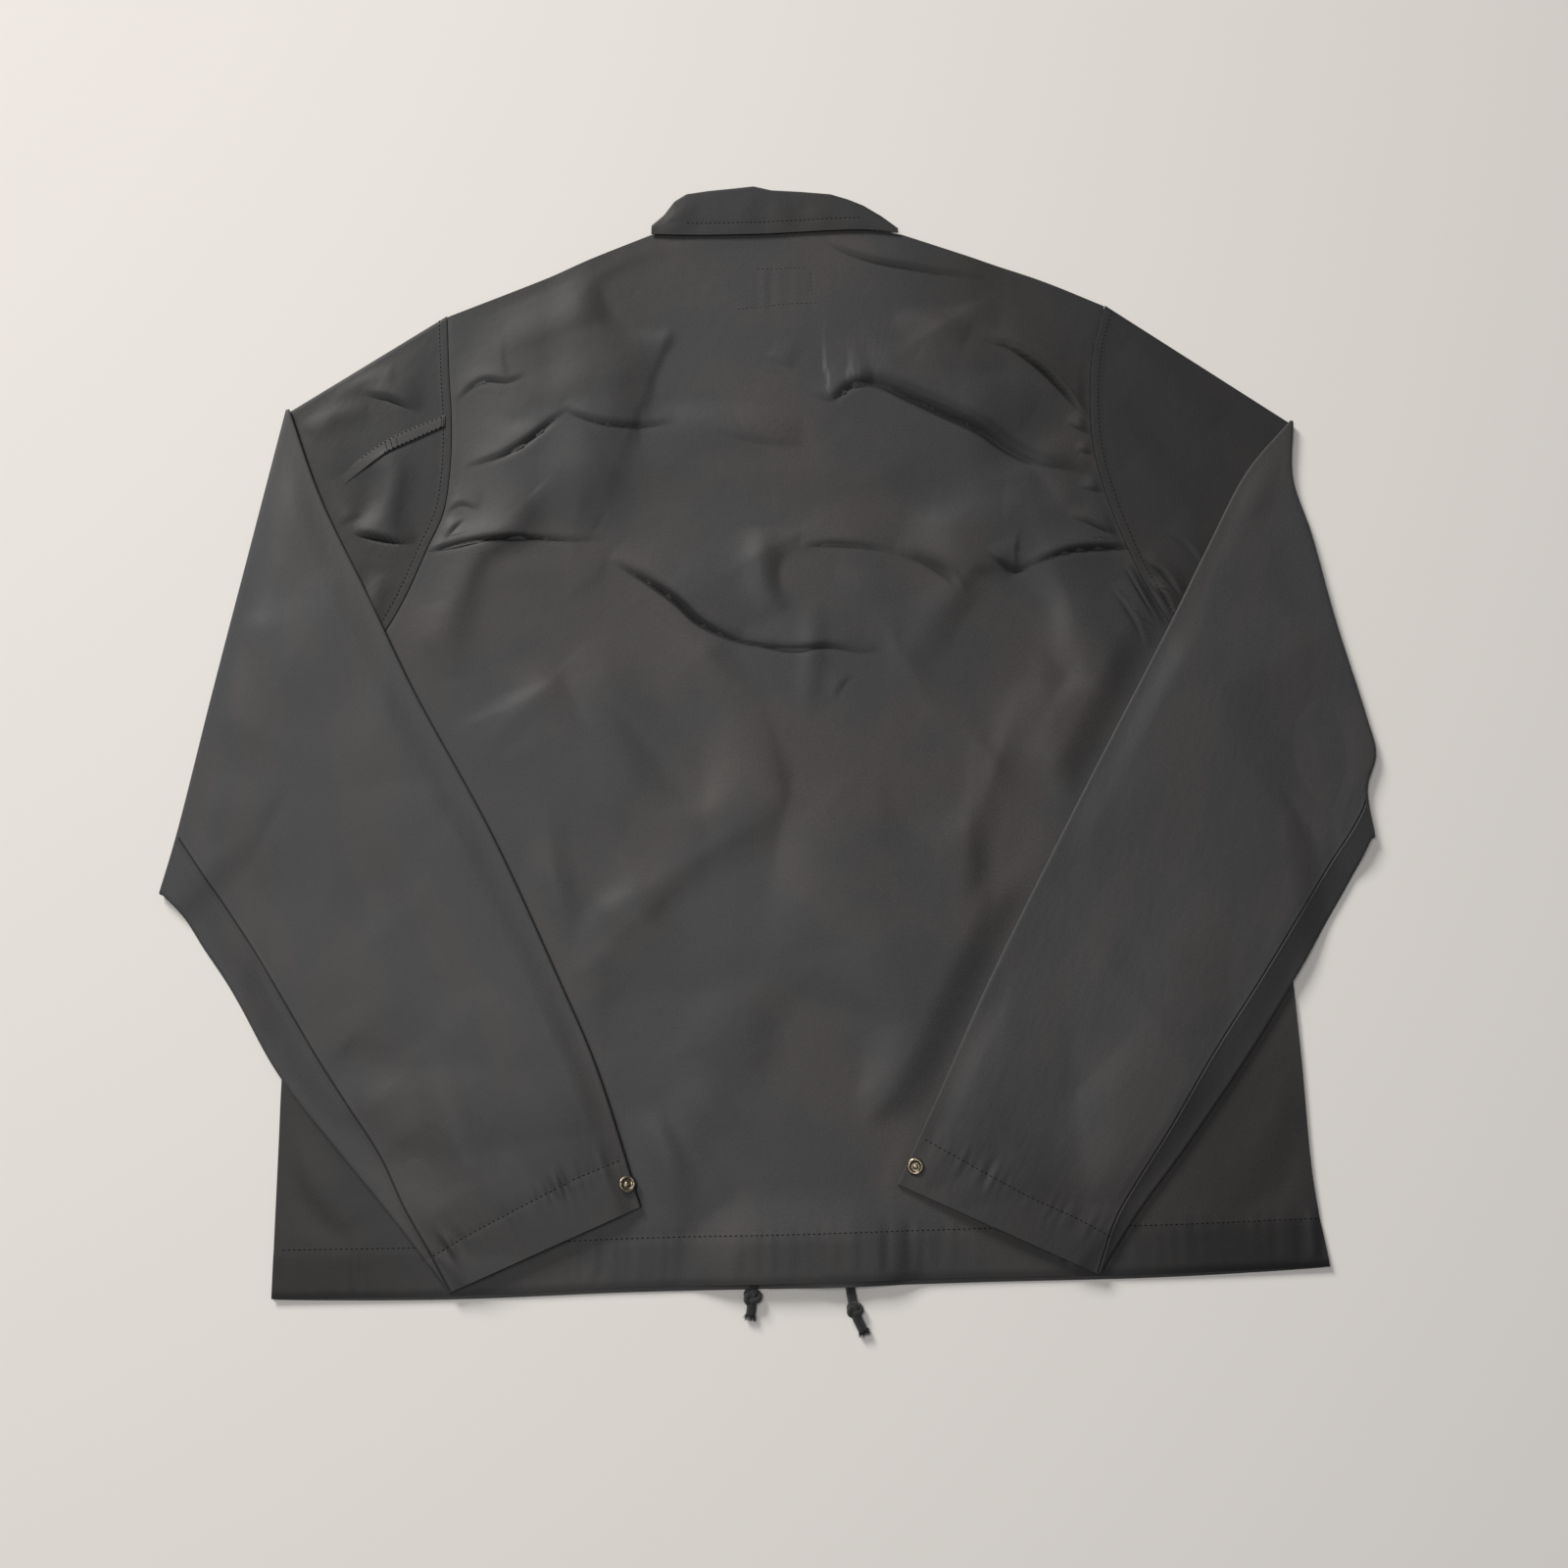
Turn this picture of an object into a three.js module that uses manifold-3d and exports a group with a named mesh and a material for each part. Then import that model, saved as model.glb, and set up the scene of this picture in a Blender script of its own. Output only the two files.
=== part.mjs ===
// A coach jacket of thin black nylon, laid face down on a flat floor, with both sleeves folded over its back.
// Millimetres, +Z up. X runs across the garment, to the right as it is seen from above, and +Y runs from the
// hem toward the collar. The origin is on the floor, under the middle of the garment's outline.
// "Left" and "right" are as seen from above, which are also the wearer's own, since the back is uppermost.
import * as THREE from "three";
import Module from "manifold-3d";
import { mergeVertices } from "three/addons/utils/BufferGeometryUtils.js";

const wasm = await Module();
wasm.setup();

// Cloth and the spaces between its layers
const WALL = 1.0; // a cloth wall, with its turned-in edges
const SEAM_GAP = 0.3; // between two pieces that are sewn together or lie on each other
const TUBE_GAP = 0.5; // inside a flattened sleeve
const TUBE = 2 * WALL + TUBE_GAP; // a flattened sleeve, from skin to skin
const FOLD_GAP = 0.6; // between a sleeve's upper part and the part folded over it
const EDGE_ROUND = 1.0; // how far a sleeve's folded edge bulges past its panels
const BACK_REST = WALL + SEAM_GAP; // the underside of the back, where it lies on the fronts
const LAYER = WALL + SEAM_GAP; // what one more layer of cloth lifts the layers above it by

// The body, in plan
const LEFT_UNDERARM = [-284, -28];
const RIGHT_UNDERARM = [299, -28];
const LEFT_HEM_CORNER = [-285, -359];
const RIGHT_HEM_CORNER = [323, -341];
const LEFT_SHOULDER_TIP = [-214, 261];
const RIGHT_SHOULDER_TIP = [221, 269];
const LEFT_ARMHOLE = [LEFT_UNDERARM, [-273, -4], [-259, 19], [-243, 42], [-231, 66], [-219, 98], [-210, 122],
  [-207, 150], [-207.5, 185], [-211, 222], LEFT_SHOULDER_TIP];
const RIGHT_ARMHOLE = [RIGHT_UNDERARM, [286, -4], [270, 20], [253, 47], [237, 77], [225, 107], [215, 139],
  [209, 170], [208.5, 205], [212, 238], RIGHT_SHOULDER_TIP];
const BACK_HEM = [LEFT_HEM_CORNER, [-180, -357], [-81, -352.5], [17, -350], [120, -347], [223, -345],
  RIGHT_HEM_CORNER];
const FRONT_HEM_DROP = 3; // how far the front hem shows below the back hem

// Steps of the panels' grids. The armhole has as many steps as a sleeve's section, or twice as many.
const FRONT_ROWS = { side: 7, armhole: 12 };
const FRONT_COLUMNS = { shoulder: 7, neck: 8 };
const BACK_ROWS = { side: 12, armhole: 24 };
const BACK_COLUMNS = { shoulder: 10, neck: 14 };

// The neck
const NECK_MIDDLE_X = 4;
const NECK_HALF = 84; // half the width between the two neck points
const NECK_TOP = 328; // the back neck seam, at the middle
const NECK_DIP = 7; // how much lower the seam ends at the neck points
const FRONT_NECK_DROP = 75; // from the neck points down to the front neckline's lowest point

// The placket, where the left front lies under the right one
const OVERLAP = 38; // the width of the overlap
const PLACKET_HEM = [19, -354]; // the centre front line, at the hem
const PLACKET_NECK = [4, 246]; // and at the neck
const FRONT_SNAPS = 5;
const FRONT_SNAP_RADIUS = 7.5;
const FRONT_SNAP_FIRST_Y = -300;
const FRONT_SNAP_STEP = 130;

// The large folds that stand up in the back, a row for each: where it starts, bends and ends, how high and wide
const BACK_FOLDS = [
  { from: [-193, 157], bend: [-150, 176], to: [-118, 187], height: 2.2, width: 13 },
  { from: [-224, 99], bend: [-180, 108], to: [-120, 107], height: 2.0, width: 10 },
  { from: [36, 318], bend: [70, 304], to: [140, 291], height: 1.8, width: 12 },
  { from: [21, 210], bend: [60, 217], to: [110, 193], height: 3.0, width: 15 },
  { from: [110, 193], bend: [150, 170], to: [213, 151], height: 2.8, width: 12 },
  { from: [138, 247], bend: [172, 230], to: [206, 192], height: 2.2, width: 12 },
  { from: [-99, 92], bend: [-50, 58], to: [-5, 37], height: 2.8, width: 13 },
  { from: [-5, 37], bend: [30, 34], to: [70, 35], height: 2.0, width: 12 },
  { from: [18, 116], bend: [-6, 90], to: [14, 58], height: 1.8, width: 12 },
  { from: [24, 102], bend: [70, 104], to: [118, 84], height: 1.6, width: 10 },
  { from: [137, 98], bend: [165, 88], to: [236, 101], height: 1.8, width: 9 },
];
const BACK_SWELL = 1.2; // how far the loose middle of the back stands off the fronts
const MOST_LIFT = 3.4; // the most that swell and folds may lift it together

// The sleeves. A sleeve leaves the armhole, turns over at its fold line and comes back down over the body.
// Each row of sections is a cross-section of the folded part, from the fold line to the cuff.
const LEFT_SLEEVE = {
  side: -1,
  armhole: LEFT_ARMHOLE,
  underarm: LEFT_UNDERARM,
  hemCorner: LEFT_HEM_CORNER,
  fold: [[-316, 193], [-332, 98], [-348, 3], [-363, -90], [-370, -124]],
  sections: [
    { inner: [-316, 193], outer: [-370, -124] },
    { inner: [-290, 131], outer: [-357, -136] },
    { inner: [-254, 63], outer: [-342, -156] },
    { inner: [-223, 3], outer: [-325, -178] },
    { inner: [-171, -87], outer: [-288, -233] },
    { inner: [-126, -178], outer: [-248, -279] },
    { inner: [-103, -228], outer: [-220, -310] },
    { inner: [-75, -308], outer: [-182, -355] },
  ],
  snap: [-82, -295],
};
const RIGHT_SLEEVE = {
  side: 1,
  armhole: RIGHT_ARMHOLE,
  underarm: RIGHT_UNDERARM,
  hemCorner: RIGHT_HEM_CORNER,
  fold: [[340, 185], [337, 146], [346, 108], [357, 49], [371, -13], [375, -37], [368, -59], [370, -89]],
  sections: [
    { inner: [340, 185], outer: [370, -89] },
    { inner: [309, 150], outer: [356, -112] },
    { inner: [279, 97], outer: [338, -139] },
    { inner: [252, 46], outer: [316, -172] },
    { inner: [196, -56], outer: [285, -217] },
    { inner: [132, -177], outer: [242, -274] },
    { inner: [102, -240], outer: [213, -310] },
    { inner: [75, -295], outer: [189, -345] },
  ],
  snap: [85, -285],
};
const DRAPE_START = 9; // how far past the layers below it a folded sleeve begins to sink to the floor
const DRAPE_END = 32; // and where it lies on the floor
const ACROSS = 12; // steps of a sleeve's section, from edge to edge
const UPPER_RINGS = [0, 0.3, 0.65, 0.9]; // sections between the armhole and the fold line
const TURN_RINGS = 5; // steps of the half turn at the fold line
const FOLDED_RINGS = 13; // steps from the fold line to the cuff
const SNAP_RADIUS = 5;
const SNAP_HEIGHT = 1.4;

// The collar at the back neck, a row for each section: its folded top edge and the lower edge of its fall
const COLLAR_SECTIONS = [
  { x: -80, top: 327.5, lower: 320.5 },
  { x: -72, top: 335, lower: 320.3 },
  { x: -65, top: 345.5, lower: 320 },
  { x: -57, top: 351, lower: 320 },
  { x: -42, top: 353.5, lower: 320 },
  { x: -24, top: 355.5, lower: 320.3 },
  { x: -12, top: 357, lower: 320.6 },
  { x: 0, top: 354, lower: 321 },
  { x: 20, top: 352.8, lower: 322.3 },
  { x: 40, top: 351, lower: 323.5 },
  { x: 52, top: 347, lower: 324 },
  { x: 62, top: 342.5, lower: 324 },
  { x: 74, top: 334.5, lower: 323.3 },
  { x: 85, top: 325.5, lower: 321.6 },
];
const COLLAR_TURN = 0.9; // the radius of the collar's fold, in the middle of its cloth
const LEAF_SECTIONS = [
  { inner: [-72, 318], outer: [-88, 311] },
  { inner: [-66, 290], outer: [-99, 268] },
  { inner: [-50, 268], outer: [-92, 224] },
  { inner: [-26, 253], outer: [-70, 194] },
  { inner: [1, 246], outer: [-38, 176] },
];
const LEAF_AREA = { middle: [4, 250], half: [112, 82], ramp: 30 }; // where the leaves lift what lies on them

// The welt on the left upper sleeve, a row for each section across it
const WELT_SECTIONS = [
  { upper: [-212, 190.5], lower: [-212, 182.5] },
  { upper: [-232, 181.5], lower: [-230, 173.5] },
  { upper: [-250, 172], lower: [-248, 164] },
  { upper: [-265, 160], lower: [-262, 153] },
  { upper: [-277, 147.5], lower: [-274, 142.5] },
];

// The free ends of the hem drawcord, a row for each ring: its middle, and half its width and height
const LEFT_CORD = [
  { at: [-1.9, -338, 3.0], wide: 2.6, high: 1.6 },
  { at: [-5.4, -340.5, 3.0], wide: 2.6, high: 1.6 },
  { at: [-8, -346, 3.1], wide: 2.6, high: 1.7 },
  { at: [-9.2, -351, 3.3], wide: 2.8, high: 1.8 },
  { at: [-9.5, -354.5, 3.4], wide: 4.6, high: 2.2 },
  { at: [-9.6, -357.5, 3.3], wide: 5.5, high: 2.9 },
  { at: [-9.8, -360.5, 2.9], wide: 4.6, high: 2.6 },
  { at: [-10, -363.5, 2.3], wide: 3.2, high: 2.0 },
  { at: [-10.5, -367.5, 2.0], wide: 3.6, high: 1.6 },
];
const RIGHT_CORD = [
  { at: [38.7, -341, 1.7], wide: 2.6, high: 1.6 },
  { at: [43, -343, 1.7], wide: 2.6, high: 1.6 },
  { at: [46, -348.5, 1.7], wide: 2.6, high: 1.6 },
  { at: [47, -355, 1.7], wide: 2.6, high: 1.6 },
  { at: [48, -360.5, 2.2], wide: 3.0, high: 2.0 },
  { at: [49, -364.5, 3.0], wide: 4.6, high: 2.8 },
  { at: [50.2, -368.5, 2.8], wide: 4.2, high: 2.6 },
  { at: [51.8, -372, 2.0], wide: 3.2, high: 1.8 },
  { at: [54, -376.5, 1.6], wide: 3.8, high: 1.4 },
];
const CORD_SIDES = 10;
const CORD_LIFT = 4.4; // how far the hem rises over the cord ends
const CORD_Y = -345;
const LEFT_CORD_X = -4;
const RIGHT_CORD_X = 45;

// Finishes
const cloth = new THREE.MeshStandardMaterial({ color: 0x2a2a2c, roughness: 0.55, metalness: 0 });
const collarCloth = new THREE.MeshStandardMaterial({ color: 0x262628, roughness: 0.6, metalness: 0 });
const cord = new THREE.MeshStandardMaterial({ color: 0x17181b, roughness: 0.9, metalness: 0 });
const brass = new THREE.MeshStandardMaterial({ color: 0x8d7a55, roughness: 0.35, metalness: 1 });

const mix = THREE.MathUtils.lerp;
const ramp = THREE.MathUtils.smoothstep;
const plan = ([x, y]) => new THREE.Vector3(x, y, 0);

// A smooth curve through points in plan, from 0 at its first point to 1 at its last, even along its length.
function through(points) {
  const curve = new THREE.CatmullRomCurve3(points.map(plan), false, "centripetal");
  return (t) => curve.getPointAt(THREE.MathUtils.clamp(t, 0, 1));
}

// One curve made of several, each a function from 0 to 1 with its own number of steps.
function joined(...parts) {
  const all = parts.reduce((sum, part) => sum + part.steps, 0);
  return (t) => {
    let step = t * all;
    let i = 0;
    while (i < parts.length - 1 && step > parts[i].steps + 1e-9) step -= parts[i++].steps;
    return parts[i].curve(step / parts[i].steps);
  };
}

// The value of one column of a table of rows, at a place along a rising column.
function lookup(rows, key, value, place) {
  const last = rows.length - 1;
  if (place <= rows[0][key]) return rows[0][value];
  if (place >= rows[last][key]) return rows[last][value];
  const i = rows.findIndex((row) => row[key] > place);
  const share = (place - rows[i - 1][key]) / (rows[i][key] - rows[i - 1][key]);
  return mix(rows[i - 1][value], rows[i][value], share);
}

// A panel's plan, stretched between its four edges: u from left to right, v from bottom to top.
function panel({ bottom, top, left, right }) {
  const corners = [bottom(0), bottom(1), top(0), top(1)];
  return (u, v) =>
    new THREE.Vector3()
      .addScaledVector(bottom(u), 1 - v)
      .addScaledVector(top(u), v)
      .addScaledVector(left(v), 1 - u)
      .addScaledVector(right(v), u)
      .addScaledVector(corners[0], -(1 - u) * (1 - v))
      .addScaledVector(corners[1], -u * (1 - v))
      .addScaledVector(corners[2], -(1 - u) * v)
      .addScaledVector(corners[3], -u * v);
}

// A geometry from points and from quads given by the numbers of their corners.
function fromQuads(points, quads) {
  const geometry = new THREE.BufferGeometry().setFromPoints(points);
  geometry.setIndex(quads.flatMap(([a, b, c, d]) => [a, b, c, a, c, d]));
  geometry.computeVertexNormals();
  return geometry;
}

// A closed wall between two surfaces on one grid of columns and rows, with a rim round its four edges.
function wall(columns, rows, under, over) {
  const points = [];
  for (const surface of [under, over])
    for (let j = 0; j <= rows; j++)
      for (let i = 0; i <= columns; i++) points.push(surface(i / columns, j / rows));
  const at = (layer, i, j) => (layer * (rows + 1) + j) * (columns + 1) + i;
  const quads = [];
  for (let j = 0; j < rows; j++)
    for (let i = 0; i < columns; i++) {
      quads.push([at(1, i, j), at(1, i + 1, j), at(1, i + 1, j + 1), at(1, i, j + 1)]);
      quads.push([at(0, i, j), at(0, i, j + 1), at(0, i + 1, j + 1), at(0, i + 1, j)]);
    }
  for (let i = 0; i < columns; i++) {
    quads.push([at(0, i, 0), at(0, i + 1, 0), at(1, i + 1, 0), at(1, i, 0)]);
    quads.push([at(0, i + 1, rows), at(0, i, rows), at(1, i, rows), at(1, i + 1, rows)]);
  }
  for (let j = 0; j < rows; j++) {
    quads.push([at(0, 0, j + 1), at(0, 0, j), at(1, 0, j), at(1, 0, j + 1)]);
    quads.push([at(0, columns, j), at(0, columns, j + 1), at(1, columns, j + 1), at(1, columns, j)]);
  }
  return fromQuads(points, quads);
}

// A wall of cloth that lies nearly flat: a plan, and the height of its underside at each place.
function sheet(columns, rows, place, height) {
  const under = (u, v) => {
    const p = place(u, v);
    return p.setZ(height(p.x, p.y, u, v));
  };
  const over = (u, v) => {
    const p = under(u, v);
    return p.setZ(p.z + WALL);
  };
  return wall(columns, rows, under, over);
}

function named(name, geometry, material) {
  const mesh = new THREE.Mesh(geometry, material);
  mesh.name = name;
  return mesh;
}

// A three.js geometry as a solid that can be cut, and a solid as a geometry again
function solidOf(geometry) {
  const bare = geometry.clone();
  bare.deleteAttribute("normal");
  bare.deleteAttribute("uv");
  const merged = mergeVertices(bare, 1e-4);
  return new wasm.Manifold(
    new wasm.Mesh({
      numProp: 3,
      vertProperties: new Float32Array(merged.attributes.position.array),
      triVerts: new Uint32Array(merged.index.array),
    }),
  );
}

function geometryOf(solid) {
  const mesh = solid.getMesh();
  const geometry = new THREE.BufferGeometry();
  geometry.setAttribute("position", new THREE.BufferAttribute(mesh.vertProperties, 3));
  geometry.setIndex(new THREE.BufferAttribute(mesh.triVerts, 1));
  geometry.computeVertexNormals();
  return geometry;
}

// Heights of the layers

// The centre front line, which leans a little from hem to neck.
function centreFront(y) {
  const share = (y - PLACKET_HEM[1]) / (PLACKET_NECK[1] - PLACKET_HEM[1]);
  return mix(PLACKET_HEM[0], PLACKET_NECK[0], share);
}

// How far a place lies past the edge of the left front, to the right.
const pastLeftFront = (x, y) => x - (centreFront(y) + OVERLAP / 2);

// The right front steps up over the edge of the left one.
const rightFrontRise = (x, y) => LAYER * (1 - ramp(pastLeftFront(x, y), 6, 24));

// The back steps up over both, on a wider strip that ends above the front neckline.
function backOverlapRise(x, y) {
  const past = pastLeftFront(x, y);
  return LAYER * ramp(past + OVERLAP, -30, -8) * (1 - ramp(past, 14, 38)) * (1 - ramp(y, 254, 290));
}

// Both fronts and the back step up over the collar's leaves; spread widens the raised area.
function leafRise(x, y, spread) {
  const { middle, half, ramp: run } = LEAF_AREA;
  const outX = Math.max(Math.abs(x - middle[0]) - half[0] - spread, 0);
  const outY = Math.max(Math.abs(y - middle[1]) - half[1] - spread, 0);
  return LAYER * (1 - ramp(Math.hypot(outX, outY), 0, run));
}

// The hem stands up over a cord end, or over both ends and what lies between them.
function cordRise(x, y, fromX, toX, flat, run) {
  const outX = Math.max(fromX - x, x - toX, 0);
  return CORD_LIFT * (1 - ramp(Math.hypot(outX, y - CORD_Y), flat, flat + run));
}

// The height of one fold at a place: a soft ridge along its bent line that tapers at both ends.
function foldHeight({ from, bend, to, height, width }, x, y) {
  const line = new THREE.QuadraticBezierCurve(
    new THREE.Vector2(...from), new THREE.Vector2(...bend), new THREE.Vector2(...to),
  );
  let nearest = Infinity;
  let along = 0;
  const steps = 16;
  for (let i = 0; i <= steps; i++) {
    const p = line.getPoint(i / steps);
    const away = Math.hypot(p.x - x, p.y - y);
    if (away < nearest) [nearest, along] = [away, i / steps];
  }
  const taper = 0.35 + 0.65 * Math.sin(Math.PI * along);
  return height * taper * Math.exp(-((nearest / width) ** 2));
}

// Where a folded sleeve's inner edge crosses a line across the garment.
function innerEdge(sleeve, y) {
  const rows = sleeve.sections.map(({ inner }) => ({ y: inner[1], x: inner[0] })).reverse();
  return lookup(rows, "y", "x", y);
}

// The back lies flat under the sleeves and along its seams, and its folds stand up between them.
function backHeight(x, y, u, v) {
  const clearOfSleeves =
    ramp(x - innerEdge(LEFT_SLEEVE, y), 5, 36) * ramp(innerEdge(RIGHT_SLEEVE, y) - x, 5, 36);
  const clearOfSeams = ramp(Math.min(u, 1 - u), 0.0, 0.07) * ramp(1 - v, 0.01, 0.08);
  const folds = BACK_FOLDS.reduce((sum, fold) => sum + foldHeight(fold, x, y), 0);
  const loose = Math.min(BACK_SWELL * ramp(v, 0, 0.2) + folds, MOST_LIFT);
  return (
    BACK_REST +
    leafRise(x, y, 12) +
    backOverlapRise(x, y) +
    cordRise(x, y, LEFT_CORD_X, RIGHT_CORD_X, 16, 30) +
    loose * clearOfSleeves * clearOfSeams
  );
}

// Panels

const neckY = (x) => NECK_TOP - NECK_DIP * ((x - NECK_MIDDLE_X) / NECK_HALF) ** 2;
const neckPoint = (side) => [NECK_MIDDLE_X + side * NECK_HALF, NECK_TOP - NECK_DIP];
const leftShoulder = through([LEFT_SHOULDER_TIP, [-150, 289], [-116, 305], neckPoint(-1)]);
const rightShoulder = through([neckPoint(1), [132, 305], [179, 288], RIGHT_SHOULDER_TIP]);
const leftSide = through([LEFT_HEM_CORNER, [-287, -274], [-288, -233], [-287, -130], LEFT_UNDERARM]);
const rightSide = through([RIGHT_HEM_CORNER, [317, -294], [315, -217], [311, -130], RIGHT_UNDERARM]);
const backHem = through(BACK_HEM);

// The left or the right edge of a panel, from the hem up the side seam and round the armhole.
function sideEdge(side, armhole, rows) {
  return joined({ curve: side, steps: rows.side }, { curve: through(armhole), steps: rows.armhole });
}

function backPanel() {
  const neck = (t) => {
    const x = NECK_MIDDLE_X + mix(-NECK_HALF, NECK_HALF, t);
    return new THREE.Vector3(x, neckY(x), 0);
  };
  const { shoulder, neck: across } = BACK_COLUMNS;
  const top = joined(
    { curve: leftShoulder, steps: shoulder },
    { curve: neck, steps: across },
    { curve: rightShoulder, steps: shoulder },
  );
  const left = sideEdge(leftSide, LEFT_ARMHOLE, BACK_ROWS);
  const right = sideEdge(rightSide, RIGHT_ARMHOLE, BACK_ROWS);
  const place = panel({ bottom: backHem, top, left, right });
  const rows = BACK_ROWS.side + BACK_ROWS.armhole;
  return named("back", sheet(2 * shoulder + across, rows, place, backHeight), cloth);
}

// The front hem, a little below the back hem but for its ends at the side seams.
function frontHem(u) {
  const p = backHem(u);
  return p.setY(p.y - FRONT_HEM_DROP * Math.sqrt(Math.sin(Math.PI * u)));
}

// The share of the hem's length at which it passes a place across the garment.
function hemShare(x) {
  let [low, high] = [0, 1];
  for (let i = 0; i < 30; i++) {
    const middle = (low + high) / 2;
    if (backHem(middle).x < x) low = middle;
    else high = middle;
  }
  return low;
}

// Half of the front neckline, from a neck point down and on to the placket's edge past the middle.
function frontNeck(side) {
  const [edge, top] = neckPoint(side);
  const lowest = top - FRONT_NECK_DROP;
  const at = (share, y) => [mix(NECK_MIDDLE_X, edge, share), y];
  return [[edge, top], at(0.92, lowest + 46), at(0.62, lowest + 18), at(0.19, lowest + 3),
    [NECK_MIDDLE_X - (side * OVERLAP) / 2, lowest]];
}

function leftFront() {
  const end = hemShare(PLACKET_HEM[0] + OVERLAP / 2);
  const bottom = (u) => frontHem(u * end);
  const neck = frontNeck(-1);
  const top = joined(
    { curve: leftShoulder, steps: FRONT_COLUMNS.shoulder },
    { curve: through(neck), steps: FRONT_COLUMNS.neck },
  );
  const left = sideEdge(leftSide, LEFT_ARMHOLE, FRONT_ROWS);
  const right = through([bottom(1).toArray(), neck[neck.length - 1]]);
  const plain = solidOf(frontPanel({ bottom, top, left, right }, (x, y) => leafRise(x, y, 0)));
  const cut = frontSnapPlaces().reduce((solid, at) => {
    const radius = FRONT_SNAP_RADIUS + SEAM_GAP;
    const hole = new THREE.CylinderGeometry(radius, radius, 20 * WALL, 24);
    hole.rotateX(Math.PI / 2).translate(at.x, at.y, 0);
    return solid.subtract(solidOf(hole));
  }, plain);
  return named("front_left", geometryOf(cut), cloth);
}

function rightFront() {
  const start = hemShare(PLACKET_HEM[0] - OVERLAP / 2);
  const bottom = (u) => frontHem(mix(start, 1, u));
  const neck = frontNeck(1).reverse();
  const top = joined(
    { curve: through(neck), steps: FRONT_COLUMNS.neck },
    { curve: rightShoulder, steps: FRONT_COLUMNS.shoulder },
  );
  const left = through([bottom(0).toArray(), neck[0]]);
  const right = sideEdge(rightSide, RIGHT_ARMHOLE, FRONT_ROWS);
  const height = (x, y) =>
    leafRise(x, y, 0) + rightFrontRise(x, y) + cordRise(x, y, RIGHT_CORD_X, RIGHT_CORD_X, 12, 24);
  return named("front_right", frontPanel({ bottom, top, left, right }, height), cloth);
}

function frontPanel(edges, height) {
  const columns = FRONT_COLUMNS.shoulder + FRONT_COLUMNS.neck;
  return sheet(columns, FRONT_ROWS.side + FRONT_ROWS.armhole, panel(edges), height);
}

// Sleeves

// How far a place lies outside both the body and the sleeve's upper part, where nothing is under it.
function outsideLayers({ side, underarm, hemCorner, fold }, x, y) {
  const past = (end) => {
    const way = plan(end).sub(plan(underarm)).normalize();
    return way.x * (y - underarm[1]) - way.y * (x - underarm[0]);
  };
  return Math.min(-side * past(fold[fold.length - 1]), side * past(hemCorner));
}

// The direction square to a way in plan, to the left (-1) or to the right (1) of the garment.
function aside(way, side) {
  const square = new THREE.Vector3(-way.y, way.x, 0);
  return square.x * side < 0 ? square.negate() : square;
}

// A sleeve as a function of where along it (0 to 1 from armhole to fold line, 1 to 2 round the turn, 2 to 3
// from there to the cuff), where across it from its top edge to its underarm edge, and how deep in from its
// back skin. A bulge moves a point out past its edge.
function sleeveShape(sleeve) {
  const armhole = through([...sleeve.armhole].reverse());
  const foldOut = through(sleeve.fold);
  const inner = through(sleeve.sections.map((row) => row.inner));
  const outer = through(sleeve.sections.map((row) => row.outer));
  const chord = foldOut(1).sub(foldOut(0)).normalize();
  const away = aside(chord, sleeve.side);
  const reach = FOLD_GAP / 2 + TUBE;
  const foldAxis = (w) => foldOut(w).addScaledVector(away, -reach);

  function middle(along, across) {
    if (along < 1) {
      const start = armhole(across);
      const tangent = armhole(across + 0.01).sub(armhole(across - 0.01)).normalize();
      start.addScaledVector(aside(tangent, sleeve.side), SEAM_GAP + 0.1);
      return start.lerp(foldAxis(across), along);
    }
    if (along <= 2) return foldAxis(across);
    const s = along - 2;
    const straight = inner(s).lerp(outer(s), across);
    const chordPoint = foldOut(0).lerp(foldOut(1), across);
    const bow = foldOut(across).sub(chordPoint).multiplyScalar((1 - s) ** 4);
    return straight.add(bow).addScaledVector(away, -reach * (1 - s) ** 6);
  }

  return (along, across, depth, bulge = 0) => {
    const place = middle(along, across);
    if (bulge) {
      const step = across > 0.5 ? -0.02 : 0.02;
      place.addScaledVector(middle(along, across).sub(middle(along, across + step)).normalize(), bulge);
    }
    if (along <= 1) return place.setZ(TUBE - depth);
    if (along < 2) {
      const angle = (along - 1.5) * Math.PI;
      const radius = FOLD_GAP / 2 + depth;
      const z = TUBE + FOLD_GAP / 2 + radius * Math.sin(angle);
      return place.addScaledVector(away, radius * Math.cos(angle)).setZ(z);
    }
    const drop = ramp(outsideLayers(sleeve, place.x, place.y), DRAPE_START, DRAPE_END);
    return place.setZ((TUBE + FOLD_GAP) * (1 - drop) + depth);
  };
}

// The points round one ring of a sleeve, on its outer skin or on the inner one, from its top edge round.
// The inner skin starts a little way in from the armhole.
function sleeveRing(shape, place, isOuter, width) {
  const along = isOuter ? place : Math.max(place, 0.012);
  const depths = isOuter ? [0, TUBE] : [WALL, TUBE - WALL];
  const inset = isOuter ? 0 : (WALL + 0.3) / width;
  const bulge = isOuter ? EDGE_ROUND : 0.2;
  const ring = [];
  for (let i = 0; i <= ACROSS; i++) ring.push(shape(along, mix(inset, 1 - inset, i / ACROSS), depths[0]));
  ring.push(shape(along, 1 - inset, TUBE / 2, bulge));
  for (let i = ACROSS; i >= 0; i--) ring.push(shape(along, mix(inset, 1 - inset, i / ACROSS), depths[1]));
  ring.push(shape(along, inset, TUBE / 2, bulge));
  return ring;
}

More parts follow.
